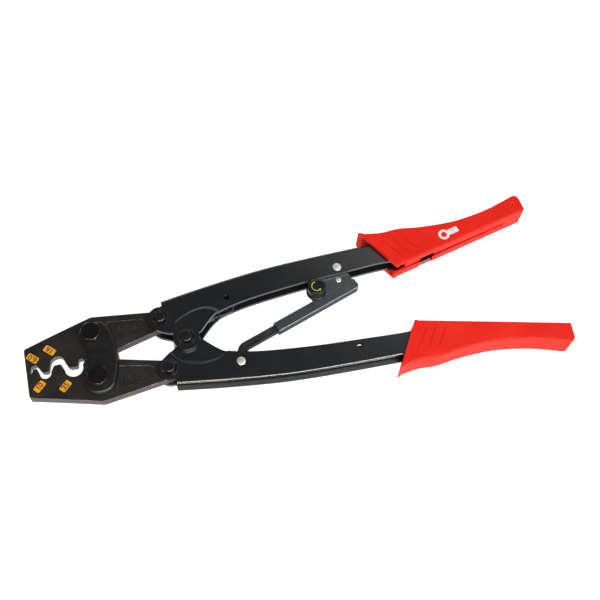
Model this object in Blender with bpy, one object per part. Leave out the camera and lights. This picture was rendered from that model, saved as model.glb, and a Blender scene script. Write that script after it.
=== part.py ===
"""Ratchet crimping tool for copper tube terminals, in four nests from 6 to 25 mm2.

Two folded steel handles share one main pivot. Each handle pushes the tail of one jaw, the two jaws
turn on bolts held by a pair of link plates, and a toothed bar slides in a sheath between the handles.

All sizes below are in millimetres in the tool's own plane: the main pivot is at (0, 0), the jaws point
to -X, the handles to +X, the upper handle is on +Y, and Z = 0 is the middle of the tool's thickness.
Everything is moved once, by FRAME, so that the object stands at the bottom centre of its own box.
The handles, jaws and grips are mirror images in Y, so one outline serves both sides.
"""
import math

import bmesh
import bpy
from mathutils import Matrix, Vector

MM = 0.001

# ---------------------------------------------------------------- driving dimensions (mm)
JAW_TIP_X = -110.8
GRIP_END_X = 269.2
FRONT_CORNER_Y = {1: 17.0, -1: 19.2}
FLANK_Y = {1: 24.3, -1: 25.3}
SHOULDER_Y = {1: 32.0, -1: 32.5}
DIE_RELIEF = 0.9
DIE_LAND_Z = -0.6
MAIN_PIVOT = (0.0, 0.0)
TAIL_PIN = (-15.3, 19.4)
JAW_BOLT = (-63.4, 16.7)
BAR_RIVET = (33.5, 25.3)
SHEATH_RIVET = (117.0, 32.0)
BAR_ANGLE = math.radians(19.0)
BAR_START = (63.1, -4.0)

JAW_HALF = 3.7
PLATE_IN = 4.0
PLATE_OUT = 8.4
GAP = 0.3
SHEET = 2.5
CHANNEL_HALF = 7.0
JOGGLE = 1.5
SHANK_R = 4.0
HOLE_R = 4.3
OPEN_HOLE_R = 4.9
NOSE_R = 8.5
CHEEK_R = 9.4
TAIL_R = 6.6
ROLL_R = 16.2
HEX_AF = 13.0
HEAD_H = 5.3
HEAD_TURN = 44.0
NUT_H = 5.0
BOLT_END = 1.0
CLIP_T = 1.1
CLIP_R = 6.3
GROOVE_R = 3.0
PIN_STUB = 1.2
RIVET_R = 3.1
RIVET_SHANK_R = 1.6
RIVET_HOLE_R = 2.0
GRIP_HALF = 10.3
GRIP_CLEAR = 0.4
CHANNEL_END_X = 238.0

BAR_HALF_W = 2.8
BAR_HALF_Z = 2.1
BAR_EYE = (-34.9, -10.5)
BAR_END_S = 64.0
TOOTH_PITCH = 2.4
TOOTH_DEPTH = 1.1
TOOTH_COUNT = 16
SHEATH_LEN = 69.2
SHEATH_HALF_N = 4.1
SHEATH_OUT_Z = 3.6
SHEATH_SHEET = 0.9
EAR_OUT_Z = 3.3
EAR_S = 35.5
KNOB_SN = (39.5, 8.6)
PAWL_SN = (59.1, 8.6)
KNOB_TOP_Z = 13.5
KNOB_R = 6.5
CAM_R = 2.3
CAM_THROW = 1.4

REST_Z = PLATE_OUT + GAP + NUT_H + BOLT_END
FRAME = Vector((-(JAW_TIP_X + GRIP_END_X) / 2.0, 0.0, REST_Z))

# ---------------------------------------------------------------- finishes
FINISHES = {
    "forged_steel": ((0.035, 0.030, 0.028), 0.45, 0.6),
    "black_steel": ((0.022, 0.022, 0.024), 0.45, 0.7),
    "black_paint": ((0.016, 0.018, 0.021), 0.38, 0.1),
    "bright_steel": ((0.62, 0.60, 0.56), 0.32, 1.0),
    "red_plastic": ((0.83, 0.055, 0.03), 0.42, 0.0),
    "knob_plastic": ((0.014, 0.014, 0.016), 0.35, 0.0),
}


def finish(name):
    """The Principled material of one finish, made the first time it is asked for."""
    if name in bpy.data.materials:
        return bpy.data.materials[name]
    colour, roughness, metallic = FINISHES[name]
    material = bpy.data.materials.new(name)
    material.use_nodes = True
    shader = material.node_tree.nodes["Principled BSDF"]
    shader.inputs["Base Color"].default_value = (*colour, 1.0)
    shader.inputs["Roughness"].default_value = roughness
    shader.inputs["Metallic"].default_value = metallic
    material.diffuse_color = (*colour, 1.0)
    return material


# ---------------------------------------------------------------- plane geometry
def arc(centre, radius, start, end, steps):
    """Points on a circle from one angle to another, in degrees, both ends included."""
    points = []
    for i in range(steps + 1):
        a = math.radians(start + (end - start) * i / steps)
        points.append((centre[0] + radius * math.cos(a), centre[1] + radius * math.sin(a)))
    return points


def bulge(start, end, sagitta, steps):
    """A shallow arc between two points that stands off the chord to its left by sagitta."""
    (x0, y0), (x1, y1) = start, end
    chord = math.hypot(x1 - x0, y1 - y0)
    nx, ny = -(y1 - y0) / chord, (x1 - x0) / chord
    points = []
    for i in range(steps + 1):
        t = i / steps
        off = 4.0 * sagitta * t * (1.0 - t)
        points.append((x0 + (x1 - x0) * t + nx * off, y0 + (y1 - y0) * t + ny * off))
    return points


def smooth(points, steps):
    """A Catmull-Rom curve through the points, with this many steps between each two."""
    ends = [points[0]] + list(points) + [points[-1]]
    out = []
    for i in range(1, len(ends) - 2):
        p0, p1, p2, p3 = (Vector(p) for p in ends[i - 1:i + 3])
        for k in range(steps):
            t = k / steps
            q = 0.5 * (2 * p1 + (p2 - p0) * t + (2 * p0 - 5 * p1 + 4 * p2 - p3) * t * t
                       + (3 * p1 - p0 - 3 * p2 + p3) * t ** 3)
            out.append((q.x, q.y))
    out.append(tuple(points[-1]))
    return out


def rounded(corners, steps=3):
    """A polygon whose corners are (x, y, radius), with each corner turned into an arc."""
    out = []
    count = len(corners)
    for i, (x, y, r) in enumerate(corners):
        if r <= 0.0:
            out.append((x, y))
            continue
        here = Vector((x, y))
        back = (Vector(corners[i - 1][:2]) - here).normalized()
        ahead = (Vector(corners[(i + 1) % count][:2]) - here).normalized()
        half = back.angle(ahead) / 2.0
        centre = here + (back + ahead).normalized() * (r / math.sin(half))
        a = here + back * (r / math.tan(half)) - centre
        b = here + ahead * (r / math.tan(half)) - centre
        turn = a.angle_signed(b)
        for k in range(steps + 1):
            p = centre + Matrix.Rotation(-turn * k / steps, 2) @ a
            out.append((p.x, p.y))
    return out


def mirror(points):
    """The same outline on the lower side, kept in its turning direction."""
    return [(x, -y) for x, y in reversed(points)]


def along_bar(points):
    """Points given along and across the toothed bar, in the tool's plane."""
    c, s = math.cos(BAR_ANGLE), math.sin(BAR_ANGLE)
    return [(BAR_START[0] + a * c - b * s, BAR_START[1] + a * s + b * c) for a, b in points]


def side(point, sign):
    """A point of the upper side, moved to the side given by sign."""
    return (point[0], point[1] * sign)


# ---------------------------------------------------------------- solids
def add_object(name, mesh, pivot=(0.0, 0.0)):
    """Puts a mesh in the scene with its origin on a pivot of the tool's plane."""
    mesh.transform(Matrix.Translation((-pivot[0] * MM, -pivot[1] * MM, 0.0)))
    obj = bpy.data.objects.new(name, mesh)
    obj.location = (Vector((pivot[0], pivot[1], 0.0)) + FRAME) * MM
    bpy.context.scene.collection.objects.link(obj)
    return obj


def loft(name, loops, pivot=(0.0, 0.0)):
    """A closed solid through loops of points in mm, each loop counter-clockwise from above."""
    bm = bmesh.new()
    rings = [[bm.verts.new(Vector(p) * MM) for p in loop] for loop in loops]
    count = len(rings[0])
    for low, high in zip(rings, rings[1:]):
        for i in range(count):
            j = (i + 1) % count
            bm.faces.new((low[i], low[j], high[j], high[i]))
    bm.faces.new(list(reversed(rings[0])))
    bm.faces.new(rings[-1])
    bmesh.ops.recalc_face_normals(bm, faces=bm.faces)
    mesh = bpy.data.meshes.new(name)
    bm.to_mesh(mesh)
    bm.free()
    return add_object(name, mesh, pivot)


def prism(name, outline, low, high, pivot=(0.0, 0.0)):
    """An outline of the tool's plane, extruded from one height to another."""
    return loft(name, [[(x, y, z) for x, y in outline] for z in (low, high)], pivot)


def turned(name, centre, profile, sides=20, pivot=None):
    """A solid of revolution from (radius, z) pairs, bottom to top, on a vertical axis."""
    loops = []
    for radius, z in profile:
        loops.append([(x, y, z) for x, y in arc(centre, radius, 0.0, 360.0, sides)[:-1]])
    return loft(name, loops, centre if pivot is None else pivot)


def cylinder(name, centre, radius, low, high, sides=20, pivot=None):
    return turned(name, centre, [(radius, low), (radius, high)], sides, pivot)


def combine(target, tool, operation):
    """Cuts or joins a helper solid, which stays in the scene as a hidden wire guide."""
    tool.hide_render = True
    tool.display_type = "WIRE"
    modifier = target.modifiers.new(tool.name, "BOOLEAN")
    modifier.operation = operation
    modifier.solver = "EXACT"
    modifier.object = tool


def cut(target, tool):
    combine(target, tool, "DIFFERENCE")


def unite(target, tool):
    combine(target, tool, "UNION")


def drill(target, centre, radius, low=-20.0, high=20.0, sides=20):
    cut(target, cylinder("drill_%s_%d" % (target.name, len(target.modifiers)), centre, radius, low, high,
                         sides))


def dress(obj, slot, round_angle=35.0):
    """Gives a solid its finish and smooth shading across its shallow edges."""
    obj.data.materials.append(finish(slot))
    obj.data.shade_smooth()
    obj.data.set_sharp_from_angle(angle=math.radians(round_angle))
    return obj


# ---------------------------------------------------------------- jaws
def jaw_back(sign, steps=3):
    """Behind the nests: the rolling face about the bolt, the arm, its tail and the shoulder."""
    face_end = -90.0 + 15.1
    points = arc(JAW_BOLT, ROLL_R, -90.0, face_end, 2)
    points += arc(TAIL_PIN, TAIL_R, face_end, 82.0, 10)
    points += rounded([(-17.0, 25.6, 0.0), (-62.5, SHOULDER_Y[sign], 9.0), (-88.0, FLANK_Y[sign], 30.0),
                       (JAW_TIP_X, FRONT_CORNER_Y[sign], 1.8), (JAW_TIP_X, 9.0, 0.0)], steps)[1:]
    return points


def upper_nests():
    """Upper die edge, front to back: nest 6, tooth 10, nest 16 and tooth 25."""
    points = [(JAW_TIP_X, -0.7), (-108.4, -1.3)]
    points += arc((-105.0, 1.1), 2.7, 195.0, 25.0, 7)
    points += [(-100.7, -1.4), (-99.8, -2.5), (-96.5, -2.7), (-95.6, -2.1), (-95.0, 0.1)]
    points += arc((-89.3, 2.6), 4.7, 163.0, 5.0, 8)
    points += [(-82.6, -1.9), (-81.1, -3.0), (-76.5, -3.0), (-75.8, -2.4), (-75.3, 1.2)]
    points += [(-74.5, 1.9), (-72.3, 1.9), (-71.4, 0.3)]
    return points


def lower_nests():
    """Lower die edge, front to back: tooth 6, nest 10, tooth 16 and nest 25."""
    points = [(JAW_TIP_X, -1.15), (-107.4, -2.0), (-106.3, 0.4), (-105.7, 1.0), (-104.1, 1.2), (-103.4, 0.7),
              (-102.9, -0.9)]
    points += arc((-98.2, -3.6), 3.9, 175.0, 365.0, 8)
    points += [(-92.7, -0.2), (-91.7, 0.9), (-88.0, 1.1), (-87.2, 0.5)]
    points += arc((-79.0, -3.9), 6.3, 180.0, 370.0, 10)
    points += [(-71.6, -0.6), (-71.0, -0.25)]
    return points


def set_back(edge, depth):
    """A die edge moved into its jaw, square to itself, with both of its ends kept in place along X."""
    points = [(edge[0][0], edge[0][1] + depth)]
    for a, b, c in zip(edge, edge[1:], edge[2:]):
        back = (Vector(b) - Vector(a)).normalized()
        ahead = (Vector(c) - Vector(b)).normalized()
        normal = Vector((-back.y - ahead.y, back.x + ahead.x)).normalized()
        point = Vector(b) + normal * depth / normal.dot(Vector((-ahead.y, ahead.x)))
        points.append((point.x, point.y))
    return points + [edge[-1]]


def make_jaw(name, sign):
    """A jaw whose die edge is straight over its front land and tapers back to a relieved rear."""
    edge = upper_nests() if sign > 0 else [(x, -y) for x, y in lower_nests()]
    bolt, tail = side(JAW_BOLT, sign), side(TAIL_PIN, sign)
    loops = []
    for z, depth in ((-JAW_HALF, DIE_RELIEF), (DIE_LAND_Z, 0.0), (JAW_HALF, 0.0)):
        outline = set_back(edge, depth) + jaw_back(sign)
        if sign < 0:
            outline = mirror(outline)
        loops.append([(x, y, z) for x, y in outline])
    jaw = loft(name, loops, tail)
    drill(jaw, bolt, OPEN_HOLE_R if sign > 0 else HOLE_R)
    drill(jaw, tail, HOLE_R)
    return dress(jaw, "forged_steel")


# ---------------------------------------------------------------- link plates, bolts and nuts
def plate_outline():
    """A kidney with two round ends, the lower one a little larger, drawn clockwise."""
    x, y = JAW_BOLT
    high = arc((x, y), 9.4, 180.0, 90.0, 6) + arc((x + 3.8, y + 1.2), 8.3, 90.0, 25.0, 4)
    low = arc((x + 0.4, y + 1.1), 10.1, 180.0, 90.0, 6) + arc((x + 1.9, y + 1.3), 9.9, 90.0, 25.0, 4)
    low = [(px, -py) for px, py in reversed(low)]
    outline = high + bulge(high[-1], low[0], 4.2, 6)[1:-1] + low
    return outline + bulge(low[-1], high[0], -5.3, 6)[1:-1]


def make_plate(name, low, high):
    plate = prism(name, list(reversed(plate_outline())), low, high, side(JAW_BOLT, -1))
    for sign in (1, -1):
        drill(plate, side(JAW_BOLT, sign), HOLE_R)
    return dress(plate, "black_steel")


def hexagon(centre, radius, turn=0.0):
    return arc(centre, radius, turn, turn + 360.0, 6)[:-1]


def make_bolt(name, sign):
    """Hex bolt: the head with its chamfered rim in front, the shank down to the rest plane."""
    centre = side(JAW_BOLT, sign)
    seat = PLATE_OUT + GAP
    corner = HEX_AF / math.sqrt(3.0)
    bolt = cylinder(name, centre, SHANK_R, -REST_Z, seat + 1.0, 20, side(JAW_BOLT, -1))
    levels = ((corner, seat), (corner, seat + HEAD_H - 1.1), (corner - 1.3, seat + HEAD_H))
    loops = [[(x, y, z) for x, y in hexagon(centre, r, HEAD_TURN)] for r, z in levels]
    unite(bolt, loft(name + "_head", loops))
    return dress(bolt, "black_steel")


def make_nut(name, sign):
    centre = side(JAW_BOLT, sign)
    corner = HEX_AF / math.sqrt(3.0)
    seat = -PLATE_OUT - GAP
    nut = prism(name, hexagon(centre, corner, 25.0), seat - NUT_H, seat, side(JAW_BOLT, -1))
    drill(nut, centre, SHANK_R + GAP)
    return dress(nut, "black_steel")


# ---------------------------------------------------------------- handles
OUTER_EDGE = [(-12.8, 32.7), (22.0, 38.1), (62.0, 42.9), (100.0, 45.0), (150.0, 46.3), (190.0, 46.8),
              (214.0, 48.3), (CHANNEL_END_X, 51.4)]
INNER_EDGE = [(26.0, 15.4), (40.0, 19.2), (58.0, 22.1), (90.0, 25.4), (122.0, 27.4), (152.0, 29.0),
              (165.0, 27.2), (182.0, 28.8), (206.0, 35.0), (CHANNEL_END_X, 43.0)]
NECK = [(11.5, 3.1), (15.4, 7.2), (20.3, 11.8)]
THROAT = {1: [(-18.9, 10.4), (-14.6, 7.8), (-9.9, 5.7)], -1: [(-18.9, 12.4), (-14.4, 9.0), (-9.6, 5.4)]}


def channel_outline(sign):
    """One cheek of a handle: nose about the tail pin, cheek about the main pivot, and the long arm."""
    points = [OUTER_EDGE[0], (OUTER_EDGE[0][0], 28.2)]
    points += arc(TAIL_PIN, NOSE_R, 82.0, 215.0, 9)
    points += THROAT[sign]
    points += arc(MAIN_PIVOT, CHEEK_R, 152.0, 372.0, 12)
    points += NECK
    points += smooth(INNER_EDGE, 3)
    points += list(reversed(smooth(OUTER_EDGE, 3)))[:-1]
    return points


def channel_cavity():
    """The open inside: everything but the sheet of the web along the outer edge."""
    web = [(x + 0.3, y - SHEET) for x, y in smooth(OUTER_EDGE, 3)]
    web[-1] = (CHANNEL_END_X + 5.0, web[-1][1] + 0.7)
    start = OUTER_EDGE[0][0]
    points = [(start + 0.001, web[0][1]), (start - 0.001, 45.0), (-40.0, 45.0), (-40.0, -20.0),
              (CHANNEL_END_X + 5.0, -20.0)]
    return points + list(reversed(web))


def pressed_patch(grow, sign):
    """The cheek round the main pivot that is pressed out of, or into, the line of the sheet."""
    if sign > 0:
        return bulge((27.5, 14.6 + grow), (-11.0, 4.6 + grow * 0.5), -7.6 - grow * 0.3, 9)
    return bulge((26.5, 14.4 + grow), (-13.6, 6.6 + grow * 0.5), -9.3 - grow * 0.3, 9)


def lobe_outline(sign):
    crown = pressed_patch(0.9, sign)
    points = arc(MAIN_PIVOT, CHEEK_R, 152.0, 372.0, 12) + NECK
    if sign < 0:
        points = [(-15.0, 8.2), (-9.8, 5.3)] + points
    return points + [(24.0, 14.4)] + crown[1:-1]


def make_channel(name, sign):
    """A U channel of folded sheet, its cheeks stepped at the main pivot to pass the other handle's."""
    def placed(points):
        return points if sign > 0 else mirror(points)

    inner = CHANNEL_HALF - SHEET
    channel = prism(name, placed(channel_outline(sign)), -CHANNEL_HALF, CHANNEL_HALF)
    cut(channel, prism(name + "_cavity", placed(channel_cavity()), -inner, inner))
    window = pressed_patch(-1.1, sign) + [(-14.0, -12.0), (27.0, -12.0)]
    cut(channel, prism(name + "_window", placed(window), -CHANNEL_HALF - 1.0, CHANNEL_HALF + 1.0))
    step = JOGGLE * sign
    lobe = placed(lobe_outline(sign))
    unite(channel, prism(name + "_front_lobe", lobe, inner + step, CHANNEL_HALF + step))
    unite(channel, prism(name + "_rear_lobe", lobe, -CHANNEL_HALF - step, -inner - step))
    for centre in (MAIN_PIVOT, side(TAIL_PIN, sign)):
        drill(channel, centre, HOLE_R)
    for centre in (side(BAR_RIVET, sign), side(SHEATH_RIVET, sign)):
        drill(channel, centre, RIVET_HOLE_R, sides=12)
    return dress(channel, "black_paint")


# ---------------------------------------------------------------- grips
GRIP_OUTER = [(144.0, 54.1), (156.0, 52.5), (169.5, 53.2), (185.0, 51.3), (206.0, 50.5), (222.0, 51.8),
              (240.0, 55.2), (254.0, 59.5)]


def grip_outline():
    mouth = [(139.3, 55.6), (159.8, 22.0)]
    end = [(*mouth[1], 0.0), (GRIP_END_X + 0.15, 48.4, 1.5), (GRIP_END_X - 1.6, 64.2, 2.5), (254.0, 59.5, 0.0)]
    points = mouth + rounded(end, 2)[1:-1]
    points += list(reversed(smooth(GRIP_OUTER, 2)))
    return points


def make_grip(name, sign):
    """A moulded sleeve: slanted mouth, closed end, a pocket for the channel and a slot inside."""
    def placed(points):
        return points if sign > 0 else mirror(points)

    round_r = 2.2
    outline = placed(grip_outline())
    grip = prism(name, outline, -GRIP_HALF, GRIP_HALF)
    bevel = grip.modifiers.new("rounded_edges", "BEVEL")
    bevel.width = round_r * MM
    bevel.segments = 2
    bevel.limit_method = "ANGLE"
    bevel.angle_limit = math.radians(60.0)
    clear = GRIP_CLEAR
    top = [(x, y + clear) for x, y in smooth(OUTER_EDGE, 3) if x > 128.0]
    bottom = [(x, y - clear) for x, y in smooth(INNER_EDGE, 3) if x > 128.0]
    top[-1] = (CHANNEL_END_X + clear, top[-1][1])
    bottom[-1] = (CHANNEL_END_X + clear, bottom[-1][1])
    pocket = placed([(120.0, bottom[0][1])] + bottom + list(reversed(top)) + [(120.0, top[0][1])])
    half = CHANNEL_HALF + clear
    cut(grip, prism(name + "_pocket", pocket, -half, half))
    slot = placed([(150.0, 10.0), (252.0, 33.0), (252.0, 47.5), (228.0, 42.4), (206.0, 36.8), (182.0, 30.8),
                   (150.0, 29.8)])
    cut(grip, prism(name + "_slot", slot, -1.5, 1.5))
    return dress(grip, "red_plastic")


# ---------------------------------------------------------------- pins, clips and rivets
def make_pin(name, centre, outer):
    """A headed pin: its head behind the cheeks, and a groove for the clip in front."""
    seat = outer + GAP
    groove = seat - 0.1
    clip_top = seat + CLIP_T + 0.1
    profile = [(5.4, -seat - 1.9), (6.2, -seat - 1.3), (6.2, -seat), (SHANK_R, -seat), (SHANK_R, groove),
               (GROOVE_R, groove), (GROOVE_R, clip_top), (SHANK_R, clip_top),
               (SHANK_R, clip_top + PIN_STUB - 0.4), (SHANK_R - 0.5, clip_top + PIN_STUB)]
    return dress(turned(name, centre, profile, 20), "black_steel")


def make_clip(name, centre, outer, opening):
    """A retaining ring, open on one side, that sits in the pin's groove."""
    low = outer + GAP
    outline = arc(centre, CLIP_R, opening + 35.0, opening + 325.0, 18)
    outline += arc(centre, GROOVE_R + GAP, opening + 325.0, opening + 35.0, 14)
    return dress(prism(name, outline, low, low + CLIP_T, centre), "black_steel")


def make_rivet(name, centre, outer, head_r, shank_r, head_h):
    seat = outer + GAP
    half = [(shank_r, seat), (head_r, seat), (head_r, seat + head_h * 0.4), (head_r * 0.72, seat + head_h)]
    profile = [(r, -z) for r, z in reversed(half)] + half
    return dress(turned(name, centre, profile, 16), "bright_steel")


# ---------------------------------------------------------------- ratchet
def bar_outline():
    """The bar along its own axis: teeth on the upper edge, a bend, and a leg down to the slotted eye."""
    w = BAR_HALF_W
    leg = Vector(BAR_EYE) - Vector((-26.5, 0.0))
    leg.normalize()
    across = Vector((-leg.y, leg.x)) * w
    eye = Vector(BAR_EYE)
    top = []
    first = BAR_END_S - 3.0 - TOOTH_COUNT * TOOTH_PITCH
    for i in range(TOOTH_COUNT):
        s = first + i * TOOTH_PITCH
        top += [(s, w), (s + 0.5, w - TOOTH_DEPTH)]
    top += [(first + TOOTH_COUNT * TOOTH_PITCH, w), (BAR_END_S - 1.0, w), (BAR_END_S, w - 1.0)]
    points = list(reversed(top))
    points += arc((-25.5, -4.6), w + 4.6, 90.0, 143.0, 5)
    hub = arc(BAR_EYE, 5.2, 118.0, 335.0, 9)
    points += [(x, BAR_EYE[1] + (y - BAR_EYE[1]) * 1.2) for x, y in hub]
    inner = eye - leg * 7.2 + across
    points += [(inner.x, inner.y), (-24.6, -w)]
    points += [(BAR_END_S - 1.0, -w), (BAR_END_S, -w + 1.0)]
    return points


def make_bar():
    bar = prism("ratchet_bar", along_bar(bar_outline()), -BAR_HALF_Z, BAR_HALF_Z)
    eye = rounded([(-2.35, -5.1, 2.3), (2.35, -5.1, 2.3), (2.35, 5.1, 2.3), (-2.35, 5.1, 2.3)], 4)
    slot = along_bar([(BAR_EYE[0] + a, BAR_EYE[1] + b) for a, b in eye])
    cut(bar, prism("bar_eye_slot", slot, -5.0, 5.0))
    return dress(bar, "black_steel")


def ear_outline():
    """The two ears of the sheath: from the tube up to the rivet on the upper handle."""
    q = (62.7, 16.5)
    start = [(EAR_S, 3.0), (68.2, 3.0)]
    boss = arc(q, 5.8, -5.0, 118.0, 6)
    return start + boss + [(44.0, 15.6), (36.0, 13.4), (EAR_S, 11.0)]


def make_sheath():
    """Folded sheet: a tube in front, then a channel whose two walls rise into the ears."""
    n, t = SHEATH_HALF_N, SHEATH_SHEET
    length = SHEATH_LEN
    tube = rounded([(0.0, -n, 0.0), (length - 1.5, -n, 0.0), (length + 0.4, -n + 2.0, 1.0), (length, n, 0.0),
                    (0.0, n, 0.0)], 2)
    sheath = prism("ratchet_sheath", along_bar(tube), -SHEATH_OUT_Z, SHEATH_OUT_Z, side(SHEATH_RIVET, 1))
    inside = SHEATH_OUT_Z - t
    bore = [(-5.0, -n + t), (length + 5.0, -n + t), (length + 5.0, n + 1.0), (EAR_S, n + 1.0), (EAR_S, n - t),
            (-5.0, n - t)]
    cut(sheath, prism("sheath_bore", along_bar(bore), -inside, inside))
    for mark, sign in (("front", 1), ("rear", -1)):
        low, high = sorted((sign * (EAR_OUT_Z - t), sign * EAR_OUT_Z))
        unite(sheath, prism("sheath_ear_" + mark, along_bar(ear_outline()), low, high))
    drill(sheath, side(SHEATH_RIVET, 1), RIVET_HOLE_R, sides=12)
    drill(sheath, along_bar([PAWL_SN])[0], 1.6, sides=12)
    drill(sheath, along_bar([KNOB_SN])[0], 2.4, sides=16)
    return dress(sheath, "black_paint")


def make_pawl():
    """The catch: a boss on its pin, a nose over the teeth and a finger over the knob's cam."""
    outline = arc(PAWL_SN, 3.0, -100.0, 75.0, 7)
    finger = KNOB_SN[1] + CAM_R + 0.5
    outline += [(50.0, 12.8), (40.6, 12.9), (40.2, finger), (44.6, finger), (46.0, 9.5), (45.2, 3.4),
                (45.8, 3.15), (46.6, 3.15), (50.5, 6.6), (55.5, 6.3)]
    centre = along_bar([PAWL_SN])[0]
    pawl = prism("ratchet_pawl", along_bar(outline), -2.0, 0.2, centre)
    drill(pawl, centre, 1.6, sides=12)
    return dress(pawl, "black_steel")


def make_pawl_spring():
    """One turn of spring wire round the pawl pin, with a leg along the pawl and one to the ear."""
    wire_r = 0.35
    coil_r = 2.1
    low = 0.95
    rise = 0.85
    steps = 20
    points = [(PAWL_SN[0] - 11.5, PAWL_SN[1] + 1.2, low), (PAWL_SN[0] - 6.0, PAWL_SN[1] + 1.7, low)]
    for i in range(steps + 1):
        a = math.radians(100.0 - 380.0 * i / steps)
        points.append((PAWL_SN[0] + coil_r * math.cos(a), PAWL_SN[1] + coil_r * math.sin(a),
                       low + rise * i / steps))
    points += [(PAWL_SN[0] - 3.0, PAWL_SN[1] + 4.2, low + rise), (PAWL_SN[0] - 9.0, PAWL_SN[1] + 6.0, low + rise)]
    curve = bpy.data.curves.new("pawl_spring", "CURVE")
    curve.dimensions = "3D"
    curve.bevel_depth = wire_r * MM
    curve.bevel_resolution = 1
    curve.use_fill_caps = True
    spline = curve.splines.new("POLY")
    spline.points.add(len(points) - 1)
    pivot = along_bar([PAWL_SN])[0]
    for target, (s, n, z) in zip(spline.points, points):
        x, y = along_bar([(s, n)])[0]
        target.co = ((x - pivot[0]) * MM, (y - pivot[1]) * MM, z * MM, 1.0)
    spring = bpy.data.objects.new("pawl_spring", curve)
    spring.location = (Vector((pivot[0], pivot[1], 0.0)) + FRAME) * MM
    curve.materials.append(finish("bright_steel"))
    bpy.context.scene.collection.objects.link(spring)
    return spring


def make_knob():
    """A round release knob with a chamfered rim and a wider foot, bored for its shaft."""
    centre = along_bar([KNOB_SN])[0]
    base = SHEATH_OUT_Z + GAP
    profile = [(KNOB_R + 0.6, base), (KNOB_R + 0.6, base + 1.4), (KNOB_R, base + 1.8),
               (KNOB_R, KNOB_TOP_Z - 1.1), (KNOB_R - 1.0, KNOB_TOP_Z)]
    knob = turned("release_knob", centre, profile, 28)
    cut(knob, cylinder("knob_bore", centre, 2.3, base - 1.0, KNOB_TOP_Z - 2.5, 16))
    return dress(knob, "knob_plastic")


def make_knob_shaft():
    """The knob's shaft: a rear head, and a cam between the ears that lifts the pawl's finger."""
    centre = along_bar([KNOB_SN])[0]
    head = EAR_OUT_Z + GAP
    profile = [(2.8, -head - 1.2), (3.2, -head - 0.8), (3.2, -head), (2.0, -head), (2.0, KNOB_TOP_Z - 2.8)]
    shaft = turned("release_shaft", centre, profile, 16)
    cam = arc((KNOB_SN[0] - CAM_THROW, KNOB_SN[1]), CAM_R, 0.0, 360.0, 16)[:-1]
    unite(shaft, prism("shaft_cam", along_bar(cam), -2.0, 2.0))
    return dress(shaft, "bright_steel")


# ---------------------------------------------------------------- assembly
def clear_scene():
    for obj in list(bpy.data.objects):
        bpy.data.objects.remove(obj, do_unlink=True)


def build():
    clear_scene()
    cheek = CHANNEL_HALF + JOGGLE
    make_jaw("upper_jaw", 1)
    make_jaw("lower_jaw", -1)
    make_plate("front_link_plate", PLATE_IN, PLATE_OUT)
    make_plate("rear_link_plate", -PLATE_OUT, -PLATE_IN)
    for name, sign in (("upper", 1), ("lower", -1)):
        make_bolt(name + "_jaw_bolt", sign)
        make_nut(name + "_jaw_nut", sign)
        make_channel(name + "_handle", sign)
        make_grip(name + "_grip", sign)
        make_pin(name + "_tail_pin", side(TAIL_PIN, sign), CHANNEL_HALF)
        make_clip(name + "_tail_clip", side(TAIL_PIN, sign), CHANNEL_HALF, 80.0 * sign)
    make_pin("main_pivot_pin", MAIN_PIVOT, cheek)
    make_clip("main_pivot_clip", MAIN_PIVOT, cheek, 200.0)
    make_rivet("bar_rivet", side(BAR_RIVET, -1), CHANNEL_HALF, RIVET_R, RIVET_SHANK_R, 1.2)
    make_rivet("sheath_rivet", SHEATH_RIVET, CHANNEL_HALF, RIVET_R, RIVET_SHANK_R, 1.2)
    make_rivet("pawl_pin", along_bar([PAWL_SN])[0], EAR_OUT_Z, 2.0, 1.25, 0.8)
    make_bar()
    make_sheath()
    make_pawl()
    make_pawl_spring()
    make_knob()
    make_knob_shaft()


build()
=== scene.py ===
"""Looks of the ratchet crimping tool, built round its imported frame.

Sizes are in mm in the tool's own plane, as in the CAD: main pivot at (0, 0), jaws to -X, handles to +X,
upper handle on +Y, and Z = 0 in the middle of the thickness. ORIGIN puts that plane in the row frame.
Outlines are drawn once, on the upper side, and sign (1 or -1) picks the side.
"""

import math

import bmesh
import bpy
from mathutils import Matrix, Vector


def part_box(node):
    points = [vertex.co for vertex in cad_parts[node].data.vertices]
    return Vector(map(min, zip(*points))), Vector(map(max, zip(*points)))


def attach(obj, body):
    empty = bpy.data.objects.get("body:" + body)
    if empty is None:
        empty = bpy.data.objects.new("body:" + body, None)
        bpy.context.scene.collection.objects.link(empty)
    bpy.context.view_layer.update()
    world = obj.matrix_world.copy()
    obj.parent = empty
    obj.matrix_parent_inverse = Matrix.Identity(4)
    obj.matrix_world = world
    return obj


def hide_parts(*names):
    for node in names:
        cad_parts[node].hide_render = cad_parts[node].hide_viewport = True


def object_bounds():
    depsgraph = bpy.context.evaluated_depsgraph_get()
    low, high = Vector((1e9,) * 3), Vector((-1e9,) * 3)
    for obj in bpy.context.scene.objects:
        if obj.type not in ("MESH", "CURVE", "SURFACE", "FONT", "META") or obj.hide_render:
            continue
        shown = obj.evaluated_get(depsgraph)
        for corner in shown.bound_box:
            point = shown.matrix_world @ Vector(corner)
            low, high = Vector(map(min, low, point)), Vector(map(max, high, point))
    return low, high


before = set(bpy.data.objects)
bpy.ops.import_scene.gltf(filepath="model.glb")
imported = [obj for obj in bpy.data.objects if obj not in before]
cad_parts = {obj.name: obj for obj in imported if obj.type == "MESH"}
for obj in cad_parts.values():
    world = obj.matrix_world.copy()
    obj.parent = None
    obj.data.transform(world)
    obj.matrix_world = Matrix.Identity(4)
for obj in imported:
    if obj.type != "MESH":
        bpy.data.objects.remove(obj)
CAD_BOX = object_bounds()


def middle(node):
    """The centre of a CAD node's box."""
    low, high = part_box(node)
    return (low + high) / 2.0


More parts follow.
